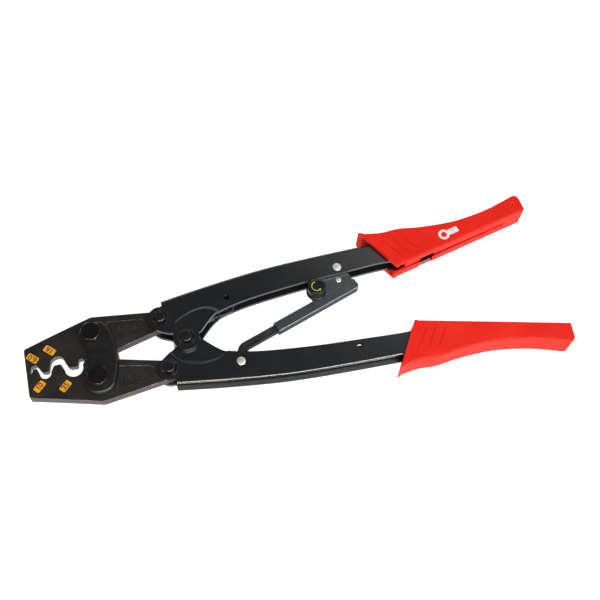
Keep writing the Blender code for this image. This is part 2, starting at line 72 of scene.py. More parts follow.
MM = 0.001
PIVOT_AT = middle("main_pivot_pin")
ORIGIN = Vector((PIVOT_AT.x, PIVOT_AT.y, (middle("front_link_plate").z + middle("rear_link_plate").z) / 2.0))

# ---------- sizes shared with the CAD (mm)
JAW_TIP_X = -110.8
GRIP_END_X = 269.2
MAIN_PIVOT = (0.0, 0.0)
TAIL_PIN = (-15.3, 19.4)
JAW_BOLT = (-63.4, 16.7)
BAR_RIVET = (33.5, 25.3)
SHEATH_RIVET = (117.0, 32.0)
BAR_ANGLE = math.radians(19.0)
BAR_START = (63.1, -4.0)
FRONT_CORNER_Y = {1: 17.0, -1: 19.2}
FLANK_Y = {1: 24.3, -1: 25.3}
SHOULDER_Y = {1: 32.0, -1: 32.5}
DIE_RELIEF = 0.9
DIE_LAND_Z = -0.6
JAW_HALF = 3.7
PLATE_IN = 4.0
PLATE_OUT = 8.4
GAP = 0.3
PANEL_DEPTH = 0.55
SHEET = 2.5
CHANNEL_HALF = 7.0
JOGGLE = 1.5
SHANK_R = 4.0
HOLE_R = 4.3
BOLT_HOLE_R = 4.6
GRADE_MARK = 0.12
GRADE_HALF_W = 0.28
FONT_SIZE = 1.35
STROKE_SPREAD = 0.09
NOSE_R = 8.5
CHEEK_R = 9.4
TAIL_R = 6.6
ROLL_R = 16.2
HEX_CORNER = 13.0 / math.sqrt(3.0)
HEAD_H = 5.3
NUT_H = 5.0
REST_Z = PLATE_OUT + GAP + NUT_H + 1.0
CLIP_T = 1.1
CLIP_R = 6.3
GROOVE_R = 3.0
GRIP_HALF = 10.3
CHANNEL_END_X = 238.0
BAR_HALF_W = 2.8
BAR_HALF_Z = 2.1
BAR_EYE = (-34.9, -10.5)
BAR_END_S = 64.0
SHEATH_LEN = 69.2
SHEATH_HALF_N = 4.1
SHEATH_OUT_Z = 3.6
SHEATH_SHEET = 0.9
FOLD_R = 1.1
EAR_OUT_Z = 3.3
EAR_S = 35.5
KNOB_SN = (39.5, 8.6)
PAWL_SN = (59.1, 8.6)
KNOB_TOP_Z = 13.5
KNOB_R = 6.5

BODY = {1: "upper_handle_body", -1: "lower_handle_body"}
SIDE_NAME = {1: "upper", -1: "lower"}


# ---------- plane geometry
def arc(centre, radius, start, end, steps):
    """Points on a circle from one angle to another, in degrees, both ends included."""
    angles = [math.radians(start + (end - start) * i / steps) for i in range(steps + 1)]
    return [(centre[0] + radius * math.cos(a), centre[1] + radius * math.sin(a)) for a in angles]


def bulge(start, end, sagitta, steps):
    """A shallow arc between two points that stands off the chord to its left by sagitta."""
    (x0, y0), (x1, y1) = start, end
    chord = math.hypot(x1 - x0, y1 - y0)
    nx, ny = -(y1 - y0) / chord, (x1 - x0) / chord
    points = []
    for i in range(steps + 1):
        t = i / steps
        off = 4.0 * sagitta * t * (1.0 - t)
        points.append((x0 + (x1 - x0) * t + nx * off, y0 + (y1 - y0) * t + ny * off))
    return points


def smooth(points, steps):
    """A Catmull-Rom curve through the points, with this many steps between each two."""
    ends = [points[0]] + list(points) + [points[-1]]
    out = []
    for i in range(1, len(ends) - 2):
        p0, p1, p2, p3 = (Vector(p) for p in ends[i - 1:i + 3])
        for k in range(steps):
            t = k / steps
            q = 0.5 * (2 * p1 + (p2 - p0) * t + (2 * p0 - 5 * p1 + 4 * p2 - p3) * t * t
                       + (3 * p1 - p0 - 3 * p2 + p3) * t ** 3)
            out.append((q.x, q.y))
    out.append(tuple(points[-1]))
    return out


def rounded(corners, steps=3):
    """A polygon whose corners are (x, y, radius), with each corner turned into an arc."""
    out = []
    count = len(corners)
    for i, (x, y, r) in enumerate(corners):
        if r <= 0.0:
            out.append((x, y))
            continue
        here = Vector((x, y))
        back = (Vector(corners[i - 1][:2]) - here).normalized()
        ahead = (Vector(corners[(i + 1) % count][:2]) - here).normalized()
        half = back.angle(ahead) / 2.0
        centre = here + (back + ahead).normalized() * (r / math.sin(half))
        a = here + back * (r / math.tan(half)) - centre
        b = here + ahead * (r / math.tan(half)) - centre
        turn = a.angle_signed(b)
        for k in range(steps + 1):
            p = centre + Matrix.Rotation(-turn * k / steps, 2) @ a
            out.append((p.x, p.y))
    return out


def rounded_box(half_x, half_y, radius, steps):
    """A rectangle about the origin with rounded corners."""
    signs = ((-1, -1), (1, -1), (1, 1), (-1, 1))
    return rounded([(half_x * sx, half_y * sy, radius) for sx, sy in signs], steps)


def placed(points, sign):
    """An outline on the upper or the lower side, in the same turning direction."""
    return list(points) if sign > 0 else [(x, -y) for x, y in reversed(points)]


def side(point, sign):
    return (point[0], point[1] * sign)


def along_bar(points):
    """Points given along and across the toothed bar, in the tool's plane."""
    c, s = math.cos(BAR_ANGLE), math.sin(BAR_ANGLE)
    return [(BAR_START[0] + a * c - b * s, BAR_START[1] + a * s + b * c) for a, b in points]


def mitred(before, here, after, depth):
    """A corner's place when the lines on both sides of it move to their left by depth."""
    back = (Vector(here) - Vector(before)).normalized()
    ahead = (Vector(after) - Vector(here)).normalized()
    normal = Vector((-back.y - ahead.y, back.x + ahead.x)).normalized()
    point = Vector(here) + normal * depth / normal.dot(Vector((-ahead.y, ahead.x)))
    return point.x, point.y


def set_back(edge, depth):
    """A line of points moved to its left by depth, square to itself, its ends kept in place along X."""
    inner = [mitred(*corner, depth) for corner in zip(edge, edge[1:], edge[2:])]
    return [(edge[0][0], edge[0][1] + depth)] + inner + [edge[-1]]


def inset(outline, depth):
    """A closed outline, counter-clockwise, shrunk by depth on every side."""
    corners = zip(outline[-1:] + outline[:-1], outline, outline[1:] + outline[:1])
    return [mitred(*corner, depth) for corner in corners]


def turned_about(points, centre, degrees):
    """Points about the origin, turned and moved to a centre."""
    c, s = math.cos(math.radians(degrees)), math.sin(math.radians(degrees))
    return [(centre[0] + x * c - y * s, centre[1] + x * s + y * c) for x, y in points]


def inside(point, outline):
    found = False
    for (x0, y0), (x1, y1) in zip(outline, outline[1:] + outline[:1]):
        if (y0 > point[1]) != (y1 > point[1]) and point[0] < x0 + (x1 - x0) * (point[1] - y0) / (y1 - y0):
            found = not found
    return found


# ---------- solids
def linked(name, data):
    """A new object in the scene."""
    obj = bpy.data.objects.new(name, data)
    bpy.context.scene.collection.objects.link(obj)
    return obj


def to_object(name, bm):
    """A bmesh in mm of the tool's plane, as an object in the row frame."""
    bm.transform(Matrix.Translation(ORIGIN) @ Matrix.Scale(MM, 4))
    mesh = bpy.data.meshes.new(name)
    bm.to_mesh(mesh)
    bm.free()
    return linked(name, mesh)


def loft(name, loops):
    """A closed solid through loops of points in mm, each loop counter-clockwise from the front."""
    bm = bmesh.new()
    rings = [[bm.verts.new(p) for p in loop] for loop in loops]
    count = len(rings[0])
    for low, high in zip(rings, rings[1:]):
        for i in range(count):
            j = (i + 1) % count
            bm.faces.new((low[i], low[j], high[j], high[i]))
    bm.faces.new(list(reversed(rings[0])))
    bm.faces.new(rings[-1])
    bmesh.ops.recalc_face_normals(bm, faces=bm.faces)
    return to_object(name, bm)


def at_height(outline, z):
    return [(x, y, z) for x, y in outline]


def prism(name, outline, low, high):
    return loft(name, [at_height(outline, low), at_height(outline, high)])


def turned(name, centre, profile, sides=40):
    """A solid of revolution from (radius, z) pairs, bottom to top, on an axis along Z."""
    return loft(name, [at_height(arc(centre, radius, 0.0, 360.0, sides)[:-1], z) for radius, z in profile])


def drill(centre, radius, low=-20.0, high=20.0, sides=40):
    return turned("drill", centre, [(radius, low), (radius, high)], sides)


def modify(obj, kind, **settings):
    modifier = obj.modifiers.new(kind.lower(), kind)
    for key, value in settings.items():
        setattr(modifier, key, value)


def settle(obj):
    """Turns a piece's modifiers into its mesh."""
    graph = bpy.context.evaluated_depsgraph_get()
    mesh = bpy.data.meshes.new_from_object(obj.evaluated_get(graph))
    old = obj.data
    obj.modifiers.clear()
    obj.data = mesh
    bpy.data.meshes.remove(old)
    mesh.name = obj.name
    return obj


def shape(obj, tools, operation):
    for tool in tools:
        modify(obj, "BOOLEAN", operation=operation, solver="EXACT", object=tool)
    settle(obj)
    for tool in tools:
        bpy.data.meshes.remove(tool.data)
    return obj


def cut(obj, *tools):
    return shape(obj, tools, "DIFFERENCE")


def unite(obj, *tools):
    return shape(obj, tools, "UNION")


def soften(obj, width, segments=2, angle=35.0, worn_and_glint=False):
    """Rounds a piece's edges; the flag gives the new faces the piece's second material, edge wear with a
    painted glint.
    """
    if worn_and_glint:
        obj.data.materials.clear()
        for _ in range(2):
            obj.data.materials.append(None)
    modify(obj, "BEVEL", width=width * MM, segments=segments, limit_method="ANGLE",
           angle_limit=math.radians(angle), miter_outer="MITER_ARC", material=1 if worn_and_glint else -1)
    return settle(obj)


def crease(obj):
    """Keeps a piece's level faces level in their shading, beside the rounded folds they run into."""
    level = [abs(face.normal.z) > 0.9999 for face in obj.data.polygons]
    sides = {}
    for face in obj.data.polygons:
        for key in face.edge_keys:
            sides.setdefault(key, set()).add(level[face.index])
    for edge in obj.data.edges:
        edge.use_edge_sharp = edge.use_edge_sharp or len(sides[edge.key]) > 1


def mark_sides(obj):
    """Gives a long piece's narrow sides its second material, painted darker as shade, and the folds beside
    its front face the third, a painted highlight line.
    """
    for face in obj.data.polygons:
        if abs(face.normal.z) < 0.25 and abs(face.normal.y) > 0.6:
            face.material_index = 1
        elif 0.45 < face.normal.z < 0.97 and abs(face.normal.y) > 0.1:
            face.material_index = 2


def finish(obj, body, materials, nodes=(), sharp=38.0, creased=False):
    """Shading, materials, and what the piece rides on, stands for and takes its finish from."""
    kept = [p.material_index for p in obj.data.polygons]
    obj.data.materials.clear()
    for material in materials:
        obj.data.materials.append(material)
    obj.data.polygons.foreach_set("material_index", kept)
    obj.data.shade_smooth()
    obj.data.set_sharp_from_angle(angle=math.radians(sharp))
    if creased:
        crease(obj)
    modify(obj, "WEIGHTED_NORMAL", keep_sharp=True, weight=95)
    settle(obj)
    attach(obj, body)
    if nodes:
        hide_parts(*nodes)
    return obj


# ---------- materials
class Surface:
    """A Principled material built up from procedural noise, in metres of the row frame."""

    def __init__(self, name, metallic=0.0, specular=0.5):
        self.material = bpy.data.materials.new(name)
        self.material.use_nodes = True
        self.tree = self.material.node_tree
        self.shader = self.tree.nodes["Principled BSDF"]
        self.shader.inputs["Metallic"].default_value = metallic
        self.shader.inputs["Specular IOR Level"].default_value = specular
        self.place = self.add("ShaderNodeTexCoord").outputs["Object"]
        self.height = None

    def feed(self, socket, value):
        """Links an output to a socket, or sets the socket to a value."""
        if isinstance(value, bpy.types.NodeSocket):
            self.tree.links.new(value, socket)
        else:
            socket.default_value = value

    def add(self, kind, **inputs):
        node = self.tree.nodes.new(kind)
        for key, value in inputs.items():
            self.feed(node.inputs[key.replace("_", " ")], value)
        return node

    def noise(self, size, stretch=(1.0, 1.0, 1.0), turn=0.0, detail=3.0):
        """Noise with features of about this size in mm, drawn out along some of the axes."""
        scale = tuple(1.0 / (size * MM * s) for s in stretch)
        mapping = self.add("ShaderNodeMapping", Vector=self.place, Scale=scale)
        if turn:
            first = self.add("ShaderNodeMapping", Vector=self.place, Rotation=(0.0, 0.0, math.radians(turn)))
            self.tree.links.new(first.outputs["Vector"], mapping.inputs["Vector"])
        return self.add("ShaderNodeTexNoise", Vector=mapping.outputs["Vector"], Scale=1.0, Detail=detail,
                        Roughness=0.55).outputs["Fac"]

    def ramp(self, factor, stops):
        """Colours or values by position along a factor."""
        node = self.add("ShaderNodeValToRGB", Fac=factor)
        elements = node.color_ramp.elements
        while len(elements) < len(stops):
            elements.new(0.5)
        for element, (position, value) in zip(elements, stops):
            element.position = position
            element.color = (*value, 1.0) if isinstance(value, tuple) else (value, value, value, 1.0)
        return node.outputs["Color"]

    def mix(self, factor, first, second):
        node = self.tree.nodes.new("ShaderNodeMix")
        node.data_type = "RGBA"
        self.tree.links.new(factor, node.inputs["Factor"])
        for socket, value in zip([s for s in node.inputs if s.type == "RGBA"], (first, second)):
            self.feed(socket, (*value, 1.0) if isinstance(value, tuple) else value)
        return [s for s in node.outputs if s.type == "RGBA"][0]

    def colour(self, socket):
        self.tree.links.new(socket, self.shader.inputs["Base Color"])
        return self

    def roughness(self, factor, low, high):
        node = self.add("ShaderNodeMapRange", Value=factor, To_Min=low, To_Max=high)
        self.tree.links.new(node.outputs["Result"], self.shader.inputs["Roughness"])
        return self

    def bump(self, factor, depth, strength=0.6):
        """Adds relief of about this depth in mm on top of what is there."""
        node = self.add("ShaderNodeBump", Height=factor, Strength=strength, Distance=depth * MM)
        if self.height:
            self.tree.links.new(self.height, node.inputs["Normal"])
        self.height = node.outputs["Normal"]
        self.tree.links.new(self.height, self.shader.inputs["Normal"])
        return self


def forged_steel():
    """Black oxide over ground forgings: brownish, with grinding lines and rubbed patches."""
    s = Surface("forged_black_oxide", metallic=0.35, specular=0.4)
    patches = s.noise(16.0, detail=4.0)
    lines = s.noise(0.5, stretch=(1.0, 40.0, 40.0), turn=-42.0, detail=2.0)
    base = s.ramp(patches, [(0.35, (0.0085, 0.0064, 0.0056)), (0.7, (0.0185, 0.0145, 0.0125))])
    s.colour(s.mix(s.ramp(lines, [(0.60, 0.0), (0.80, 0.35)]), base, (0.060, 0.048, 0.040)))
    s.roughness(patches, 0.40, 0.56)
    s.bump(lines, 0.03, 0.35)
    return s.bump(s.noise(0.8, detail=5.0), 0.05, 0.35).material


def patchy(name, size, stops, rough, relief, metallic=0.0, specular=0.5, across=1.0, detail=4.0):
    """A finish mottled by one noise, drawn out across the thickness, and its roughness from the same noise.

    relief is (size, detail, depth, strength), and without a size the relief is the mottling's own.
    """
    s = Surface(name, metallic, specular)
    patches = s.noise(size, stretch=(1.0, 1.0, across), detail=detail)
    s.colour(s.ramp(patches, stops))
    s.roughness(patches, *rough)
    grain, grain_detail, depth, strength = relief
    return s.bump(s.noise(grain, detail=grain_detail) if grain else patches, depth, strength).material


def black_steel(name, tone, size=6.0, smoothest=0.34):
    """Black oxide on plain steel, faintly mottled."""
    stops = [(0.35, (0.0085 * tone, 0.0085 * tone, 0.0090 * tone)),
             (0.7, (0.019 * tone, 0.0185 * tone, 0.0185 * tone))]
    rough = (smoothest, smoothest + 0.14)
    return patchy(name, size, stops, rough, (0.5, 4.0, 0.03, 0.25), 0.4, 0.45, detail=5.0)


def black_enamel(name, low, high, orange_peel=0.9):
    """Satin stove enamel on folded sheet, with a fine orange peel and faint dust."""
    s = Surface(name, specular=0.6)
    patches = s.noise(30.0, detail=3.0)
    s.colour(s.ramp(patches, [(0.3, low), (0.7, high)]))
    s.roughness(s.noise(9.0, detail=5.0), 0.17, 0.26)
    s.bump(s.noise(orange_peel, detail=2.0), 0.02, 0.06)
    return s.bump(s.noise(0.25, detail=2.0), 0.008, 0.10).material


def web_enamel():
    """The handles' narrow outer faces: duller than the cheeks and painted darker as shade, with a pale
    painted reflection of the floor along the rear bend.
    """
    s = Surface("web_enamel", specular=0.06)
    height = s.add("ShaderNodeSeparateXYZ", Vector=s.place).outputs["Z"]
    # Below this height the web turns pale, a painted reflection of the floor mottled in streaks; above it
    # the web is painted darker than the cheeks as shade.
    reflection_top = ORIGIN.z - 3.6 * MM
    share = s.add("ShaderNodeMapRange", Value=height, From_Min=reflection_top - 0.9 * MM, From_Max=reflection_top,
                  To_Min=1.0, To_Max=0.0).outputs["Result"]
    painted_reflection = s.ramp(s.noise(6.0, stretch=(6.0, 1.0, 0.5), detail=5.0),
                     [(0.35, (0.15, 0.145, 0.13)), (0.65, (0.32, 0.31, 0.28))])
    s.colour(s.mix(share, (0.0036, 0.0037, 0.0040), painted_reflection))
    s.roughness(s.noise(5.0, detail=4.0), 0.30, 0.44)
    return s.bump(s.noise(0.5, detail=2.0), 0.015, 0.15).material


def red_plastic():
    """Moulded grips: even orange-red with a fine sparked texture."""
    s = Surface("orange_red_moulding", specular=0.12)
    s.colour(s.ramp(s.noise(22.0), [(0.3, (0.76, 0.0120, 0.0036)), (0.7, (0.86, 0.0175, 0.0054))]))
    s.roughness(s.noise(1.4, detail=4.0), 0.44, 0.60)
    s.bump(s.noise(0.45), 0.035, 0.5)
    return s.bump(s.noise(3.5, detail=2.0), 0.03, 0.2).material


def knob_plastic():
    s = Surface("black_moulding", specular=0.24)
    s.colour(s.ramp(s.noise(4.0), [(0.3, (0.0030, 0.0031, 0.0034)), (0.7, (0.0062, 0.0064, 0.0070))]))
    s.roughness(s.noise(1.2), 0.32, 0.46)
    return s.bump(s.noise(0.3), 0.02, 0.4).material


def printed(name, low, high, roughness=0.5):
    """Printing ink or a painted sticker, slightly uneven."""
    s = Surface(name, specular=0.22)
    s.colour(s.ramp(s.noise(1.6, detail=4.0), [(0.3, low), (0.7, high)]))
    s.roughness(s.noise(0.9), roughness - 0.08, roughness + 0.08)
    return s.bump(s.noise(0.3), 0.01, 0.4).material


FORGED = forged_steel()
# Brown-grey steel along the edges: rubbed through the oxide, and bright tan patches that are a painted glint
WORN_AND_GLINT = patchy("worn_and_glint_steel_edge", 5.0, [(0.30, (0.030, 0.023, 0.019)), (0.55, (0.16, 0.115, 0.080)),
                                       (0.75, (0.30, 0.23, 0.17))], (0.5, 0.32), (0.6, 3.0, 0.03, 0.4), 0.8)
# The nests, cut across the thickness of the jaw, and the jaw's sawn sides
DIE = patchy("die_steel", 0.35, [(0.3, (0.050, 0.045, 0.041)), (0.7, (0.19, 0.18, 0.165))], (0.30, 0.46),
             (None, None, 0.04, 0.5), 0.85, across=30.0, detail=2.0)
SAWN = patchy("sawn_side_steel", 0.45, [(0.35, (0.018, 0.016, 0.015)), (0.65, (0.060, 0.058, 0.058))],
              (0.34, 0.5), (None, None, 0.06, 0.5), 0.5, across=40.0, detail=2.0)
PLATE = black_steel("plate_black_oxide", 0.62)
PIN = black_steel("pin_black_oxide", 1.1, 3.0, 0.20)
BAR = black_steel("bar_black_oxide", 2.5, 5.0, 0.24)
CLIP = black_steel("clip_spring_steel", 1.9, 3.0, 0.28)
# Bolts, with brown rubbed through on their flats
BOLT = patchy("bolt_black_oxide", 3.5, [(0.3, (0.013, 0.0125, 0.0125)), (0.62, (0.022, 0.020, 0.0185)),
                                        (0.85, (0.050, 0.038, 0.028))], (0.34, 0.22),
              (0.45, 4.0, 0.03, 0.35), 0.75, detail=5.0)
ENAMEL = black_enamel("satin_black_enamel", (0.0068, 0.0086, 0.0104), (0.0096, 0.0118, 0.0138))
SHEATH_ENAMEL = black_enamel("sheath_black_enamel", (0.036, 0.043, 0.048), (0.052, 0.060, 0.066), 0.6)
# The lip's lighter blue-grey enamel: a painted highlight
LIP_HIGHLIGHT_ENAMEL = black_enamel("lip_grey_enamel", (0.040, 0.050, 0.062), (0.060, 0.074, 0.090), 0.6)
WEB = web_enamel()
# The sheath and its bar: sides handled to a dull sheen and painted darker as shade, and a painted blue-grey
# highlight along the folds
SHADED_DULL_SIDE = patchy("dull_black_side_painted_shade", 5.0, [(0.35, (0.013, 0.014, 0.016)), (0.7, (0.034, 0.031, 0.028))],
                   (0.36, 0.48), (0.5, 2.0, 0.015, 0.15), specular=0.12)
FOLD_HIGHLIGHT = patchy("burnished_fold", 4.0, [(0.3, (0.085, 0.14, 0.19)), (0.75, (0.13, 0.19, 0.25))], (0.22, 0.34),
              (0.5, 2.0, 0.01, 0.12), specular=0.4)
# Enamel rubbed thin along the cut edges of the sheet, with lighter tan patches that also stand as a painted
# edge glint
RUBBED_AND_GLINT = patchy("rubbed_and_glint_enamel_edge", 7.0, [(0.35, (0.014, 0.013, 0.012)), (0.6, (0.045, 0.038, 0.031)),
                                            (0.8, (0.13, 0.10, 0.072))], (0.50, 0.38), (0.7, 3.0, 0.02, 0.3),
                specular=0.3)
# Zinc plate on rivets and the spring, a little yellowed
BRIGHT = patchy("zinc_plate", 1.8, [(0.3, (0.58, 0.53, 0.44)), (0.55, (0.78, 0.75, 0.69)),
                                    (0.8, (0.87, 0.86, 0.83))], (0.42, 0.24), (0.4, 3.0, 0.04, 0.4), 0.6)
RED = red_plastic()
KNOB = knob_plastic()
LABEL = printed("amber_sticker", (0.80, 0.335, 0.006), (0.88, 0.40, 0.012), 0.46)
INK = printed("dark_print", (0.050, 0.024, 0.010), (0.12, 0.056, 0.020))
KNOB_PRINT = printed("yellow_green_print", (0.42, 0.46, 0.035), (0.58, 0.60, 0.06))
WHITE_PRINT = printed("white_print", (0.74, 0.70, 0.68), (0.86, 0.84, 0.82))


# ---------- jaws
def jaw_back(sign):
    """Behind the nests: the rolling face about the bolt, the arm, its tail and the shoulder."""
    face_end = -90.0 + 15.1
    points = arc(JAW_BOLT, ROLL_R, -90.0, face_end, 4)
    points += arc(TAIL_PIN, TAIL_R, face_end, 82.0, 20)
    corners = [(-17.0, 25.6, 0.0), (-62.5, SHOULDER_Y[sign], 9.0), (-88.0, FLANK_Y[sign], 30.0),
               (JAW_TIP_X, FRONT_CORNER_Y[sign], 1.8), (JAW_TIP_X, 9.0, 0.0)]
    return points + rounded(corners, 6)[1:]


def die_edge(sign):
    """The edge of a jaw's nests, front to back, drawn with its jaw on the upper side."""
    if sign > 0:
        points = [(JAW_TIP_X, -0.7), (-108.4, -1.3)]
        points += arc((-105.0, 1.1), 2.7, 195.0, 25.0, 12)
        points += [(-100.7, -1.4), (-99.8, -2.5), (-96.5, -2.7), (-95.6, -2.1), (-95.0, 0.1)]
        points += arc((-89.3, 2.6), 4.7, 163.0, 5.0, 18)
        points += [(-82.6, -1.9), (-81.1, -3.0), (-76.5, -3.0), (-75.8, -2.4), (-75.3, 1.2)]
        return points + [(-74.5, 1.9), (-72.3, 1.9), (-71.4, 0.3)]
    points = [(JAW_TIP_X, 1.15), (-107.4, 2.0), (-106.3, -0.4), (-105.7, -1.0), (-104.1, -1.2),
              (-103.4, -0.7), (-102.9, 0.9)]
    points += arc((-98.2, 3.6), 3.9, -175.0, -365.0, 16)
    points += [(-92.7, 0.2), (-91.7, -0.9), (-88.0, -1.1), (-87.2, -0.5)]
    points += arc((-79.0, 3.9), 6.3, -180.0, -370.0, 20)
    return points + [(-71.6, 0.6), (-71.0, 0.25)]


def arm_panel():
    """The sunk panel on a jaw's arm."""
    return rounded([(-50.0, 8.8, 1.0), (-28.2, 13.5, 1.5), (-25.2, 16.2, 1.2), (-25.6, 20.0, 1.2),
                    (-28.0, 22.6, 1.5), (-52.5, 25.9, 1.2)], 5)


def sticker(name, centre, text, sign):
    """An amber size label with its numerals in ink."""
    body, degrees = SIDE_NAME[sign] + "_jaw_body", -43.0 * sign
    low, high = JAW_HALF + 0.02, JAW_HALF + 0.16
    plate = prism(name, turned_about(rounded_box(4.2, 2.45, 0.9, 5), centre, degrees), low, high)
    soften(plate, 0.05, 1)
    finish(plate, body, [LABEL])
    turn = 180.0 if sign > 0 else 0.0
    lettering(name + "_numerals", text, centre, degrees + turn, 3.9, high + 0.01, INK, body)


def lettering(name, text, centre, degrees, height, z, material, body, rise=0.03):
    """Numerals as thin solids, laid flat at a height and turned in the plane."""
    curve = bpy.data.curves.new(name, "FONT")
    curve.body = text
    curve.align_x = "CENTER"
    curve.align_y = "CENTER"
    curve.size = height * FONT_SIZE * MM
    curve.extrude = rise * MM
    curve.offset = STROKE_SPREAD * MM
    curve.resolution_u = 4
    writer = linked(name + "_curve", curve)
    graph = bpy.context.evaluated_depsgraph_get()
    mesh = bpy.data.meshes.new_from_object(writer.evaluated_get(graph))
    bpy.data.objects.remove(writer)
    bpy.data.curves.remove(curve)
    mesh.name = name
    where = ORIGIN + Vector((centre[0], centre[1], z)) * MM
    mesh.transform(Matrix.Translation(where) @ Matrix.Rotation(math.radians(degrees), 4, "Z"))
    finish(linked(name, mesh), body, [material])


def jaw(sign):
    """A jaw with straight die lands in front, relieved behind, ground faces and a sunk arm panel."""
    name = SIDE_NAME[sign] + "_jaw"
    edge, back = die_edge(sign), jaw_back(sign)
    levels = ((-JAW_HALF, DIE_RELIEF), (DIE_LAND_Z, 0.0), (JAW_HALF, 0.0))
    obj = loft(name + "_forging", [at_height(placed(set_back(edge, d) + back, sign), z) for z, d in levels])
    tools = [drill(side(JAW_BOLT, sign), BOLT_HOLE_R), drill(side(TAIL_PIN, sign), HOLE_R)]
    panel = placed(arm_panel(), sign)
    for low, high in ((JAW_HALF - PANEL_DEPTH, JAW_HALF + 1.0), (-JAW_HALF - 1.0, -JAW_HALF + PANEL_DEPTH)):
        tools.append(prism("panel", panel, low, high))
    cut(obj, *tools)
    soften(obj, 0.28, 2, 50.0, worn_and_glint=True)
    for face in obj.data.polygons:
        x, y, _ = (face.center - ORIGIN) / MM
        in_nests = abs(y) < 8.6 and JAW_TIP_X + 0.4 < x < -70.8
        if face.material_index == 1 and (in_nests or inside((x, y), panel)):
            face.material_index = 0
        elif face.material_index == 0 and abs(face.normal.z) < 0.6:
            face.material_index = 2 if in_nests else 3
    finish(obj, name + "_body", [FORGED, WORN_AND_GLINT, DIE, SAWN], [name])


for jaw_sign in (1, -1):
    jaw(jaw_sign)
sticker("label_6", (-105.5, 9.3), "6.0", 1)
sticker("label_16", (-93.5, 12.8), "16", 1)
sticker("label_10", (-103.2, -12.4), "10", -1)
sticker("label_25", (-86.2, -15.9), "25", -1)
for prefix, sizes, at, lean in (("upper", "6 - 16", (-39.0, 18.3), -3.0),
                                ("lower", "10 - 25", (-38.8, -19.6), -3.5)):
    lettering(prefix + "_size_range", sizes, at, lean, 4.3, JAW_HALF - PANEL_DEPTH + 0.2, SAWN,
              prefix + "_jaw_body", 0.25)


# ---------- link plates, bolts and nuts
def plate_outline():
    """A kidney with two round ends, the lower one a little larger."""
    x, y = JAW_BOLT
    high = arc((x, y), 9.4, 180.0, 90.0, 14) + arc((x + 3.8, y + 1.2), 8.3, 90.0, 25.0, 10)
    low = arc((x + 0.4, y + 1.1), 10.1, 180.0, 90.0, 14) + arc((x + 1.9, y + 1.3), 9.9, 90.0, 25.0, 10)
    low = [(px, -py) for px, py in reversed(low)]
    outline = high + bulge(high[-1], low[0], 4.2, 14)[1:-1] + low
    return list(reversed(outline + bulge(low[-1], high[0], -5.3, 14)[1:-1]))


def link_plate(name, inner, outer):
    """A link plate with a broad rounded edge on its outer face."""
    round_r, steps = 2.0, 5
    way = 1.0 if outer > inner else -1.0
    levels = [(inner, 0.35), (inner + 0.35 * way, 0.0)]
    for i in range(steps + 1):
        a = math.radians(90.0 * i / steps)
        levels.append((outer - way * round_r * (1.0 - math.sin(a)), round_r * (1.0 - math.cos(a))))
    obj = loft(name + "_forging", [at_height(inset(plate_outline(), depth), z) for z, depth in levels])
    cut(obj, *[drill(side(JAW_BOLT, sign), HOLE_R) for sign in (1, -1)])
    finish(obj, "link_body", [PLATE], [name])


def hex_block(name, centre, low, high, turn, chamfered):
    """A hexagon between two heights, its corners taken off at the ends named in chamfered."""
    block = prism(name, arc(centre, HEX_CORNER, turn, turn + 360.0, 6)[:-1], low, high)
    rim, drop = HEX_CORNER - 1.1, 1.05
    profile = [(HEX_CORNER + 0.5, low), (HEX_CORNER + 0.5, high)]
    if "low" in chamfered:
        profile = [(rim, low), (HEX_CORNER + 0.02, low + drop)] + profile[1:]
    if "high" in chamfered:
        profile = profile[:-1] + [(HEX_CORNER + 0.02, high - drop), (rim, high)]
    return shape(block, [turned("cone", centre, profile, 72)], "INTERSECT")


def bolt(sign, turn):
    """An M8 hex bolt: chamfered head with three raised grade marks, and the end of its shank."""
    name = SIDE_NAME[sign] + "_jaw_bolt"
    centre = side(JAW_BOLT, sign)
    seat, top = PLATE_OUT + GAP, PLATE_OUT + GAP + HEAD_H - GRADE_MARK
    head = hex_block(name + "_turned", centre, seat, top, turn, ("high",))
    soften(head, 0.17, 2, 24.0, worn_and_glint=True)
    dash = [(1.9, -GRADE_HALF_W), (4.3, -GRADE_HALF_W), (4.3, GRADE_HALF_W), (1.9, GRADE_HALF_W)]
    marks = [prism("mark", turned_about(dash, centre, a), top - 0.3, top + GRADE_MARK)
             for a in (turn, turn + 120.0, turn + 240.0)]
    profile = [(SHANK_R - 0.7, -REST_Z), (SHANK_R, -REST_Z + 0.7), (SHANK_R, seat + 0.5)]
    unite(head, turned("shank", centre, profile), *marks)
    finish(head, "link_body", [BOLT, WORN_AND_GLINT], [name], 30.0)


def nut(sign):
    name = SIDE_NAME[sign] + "_jaw_nut"
    centre = side(JAW_BOLT, sign)
    seat = -PLATE_OUT - GAP
    block = hex_block(name + "_hex", centre, seat - NUT_H, seat, 25.0, ("low", "high"))
    cut(block, drill(centre, SHANK_R + 0.1))
    soften(block, 0.17, 2, 24.0, worn_and_glint=True)
    finish(block, "link_body", [BOLT, WORN_AND_GLINT], [name], 30.0)


link_plate("front_link_plate", PLATE_IN, PLATE_OUT)
link_plate("rear_link_plate", -PLATE_IN, -PLATE_OUT)
for bolt_sign, head_turn in ((1, 46.0), (-1, 39.0)):
    bolt(bolt_sign, head_turn)
    nut(bolt_sign)


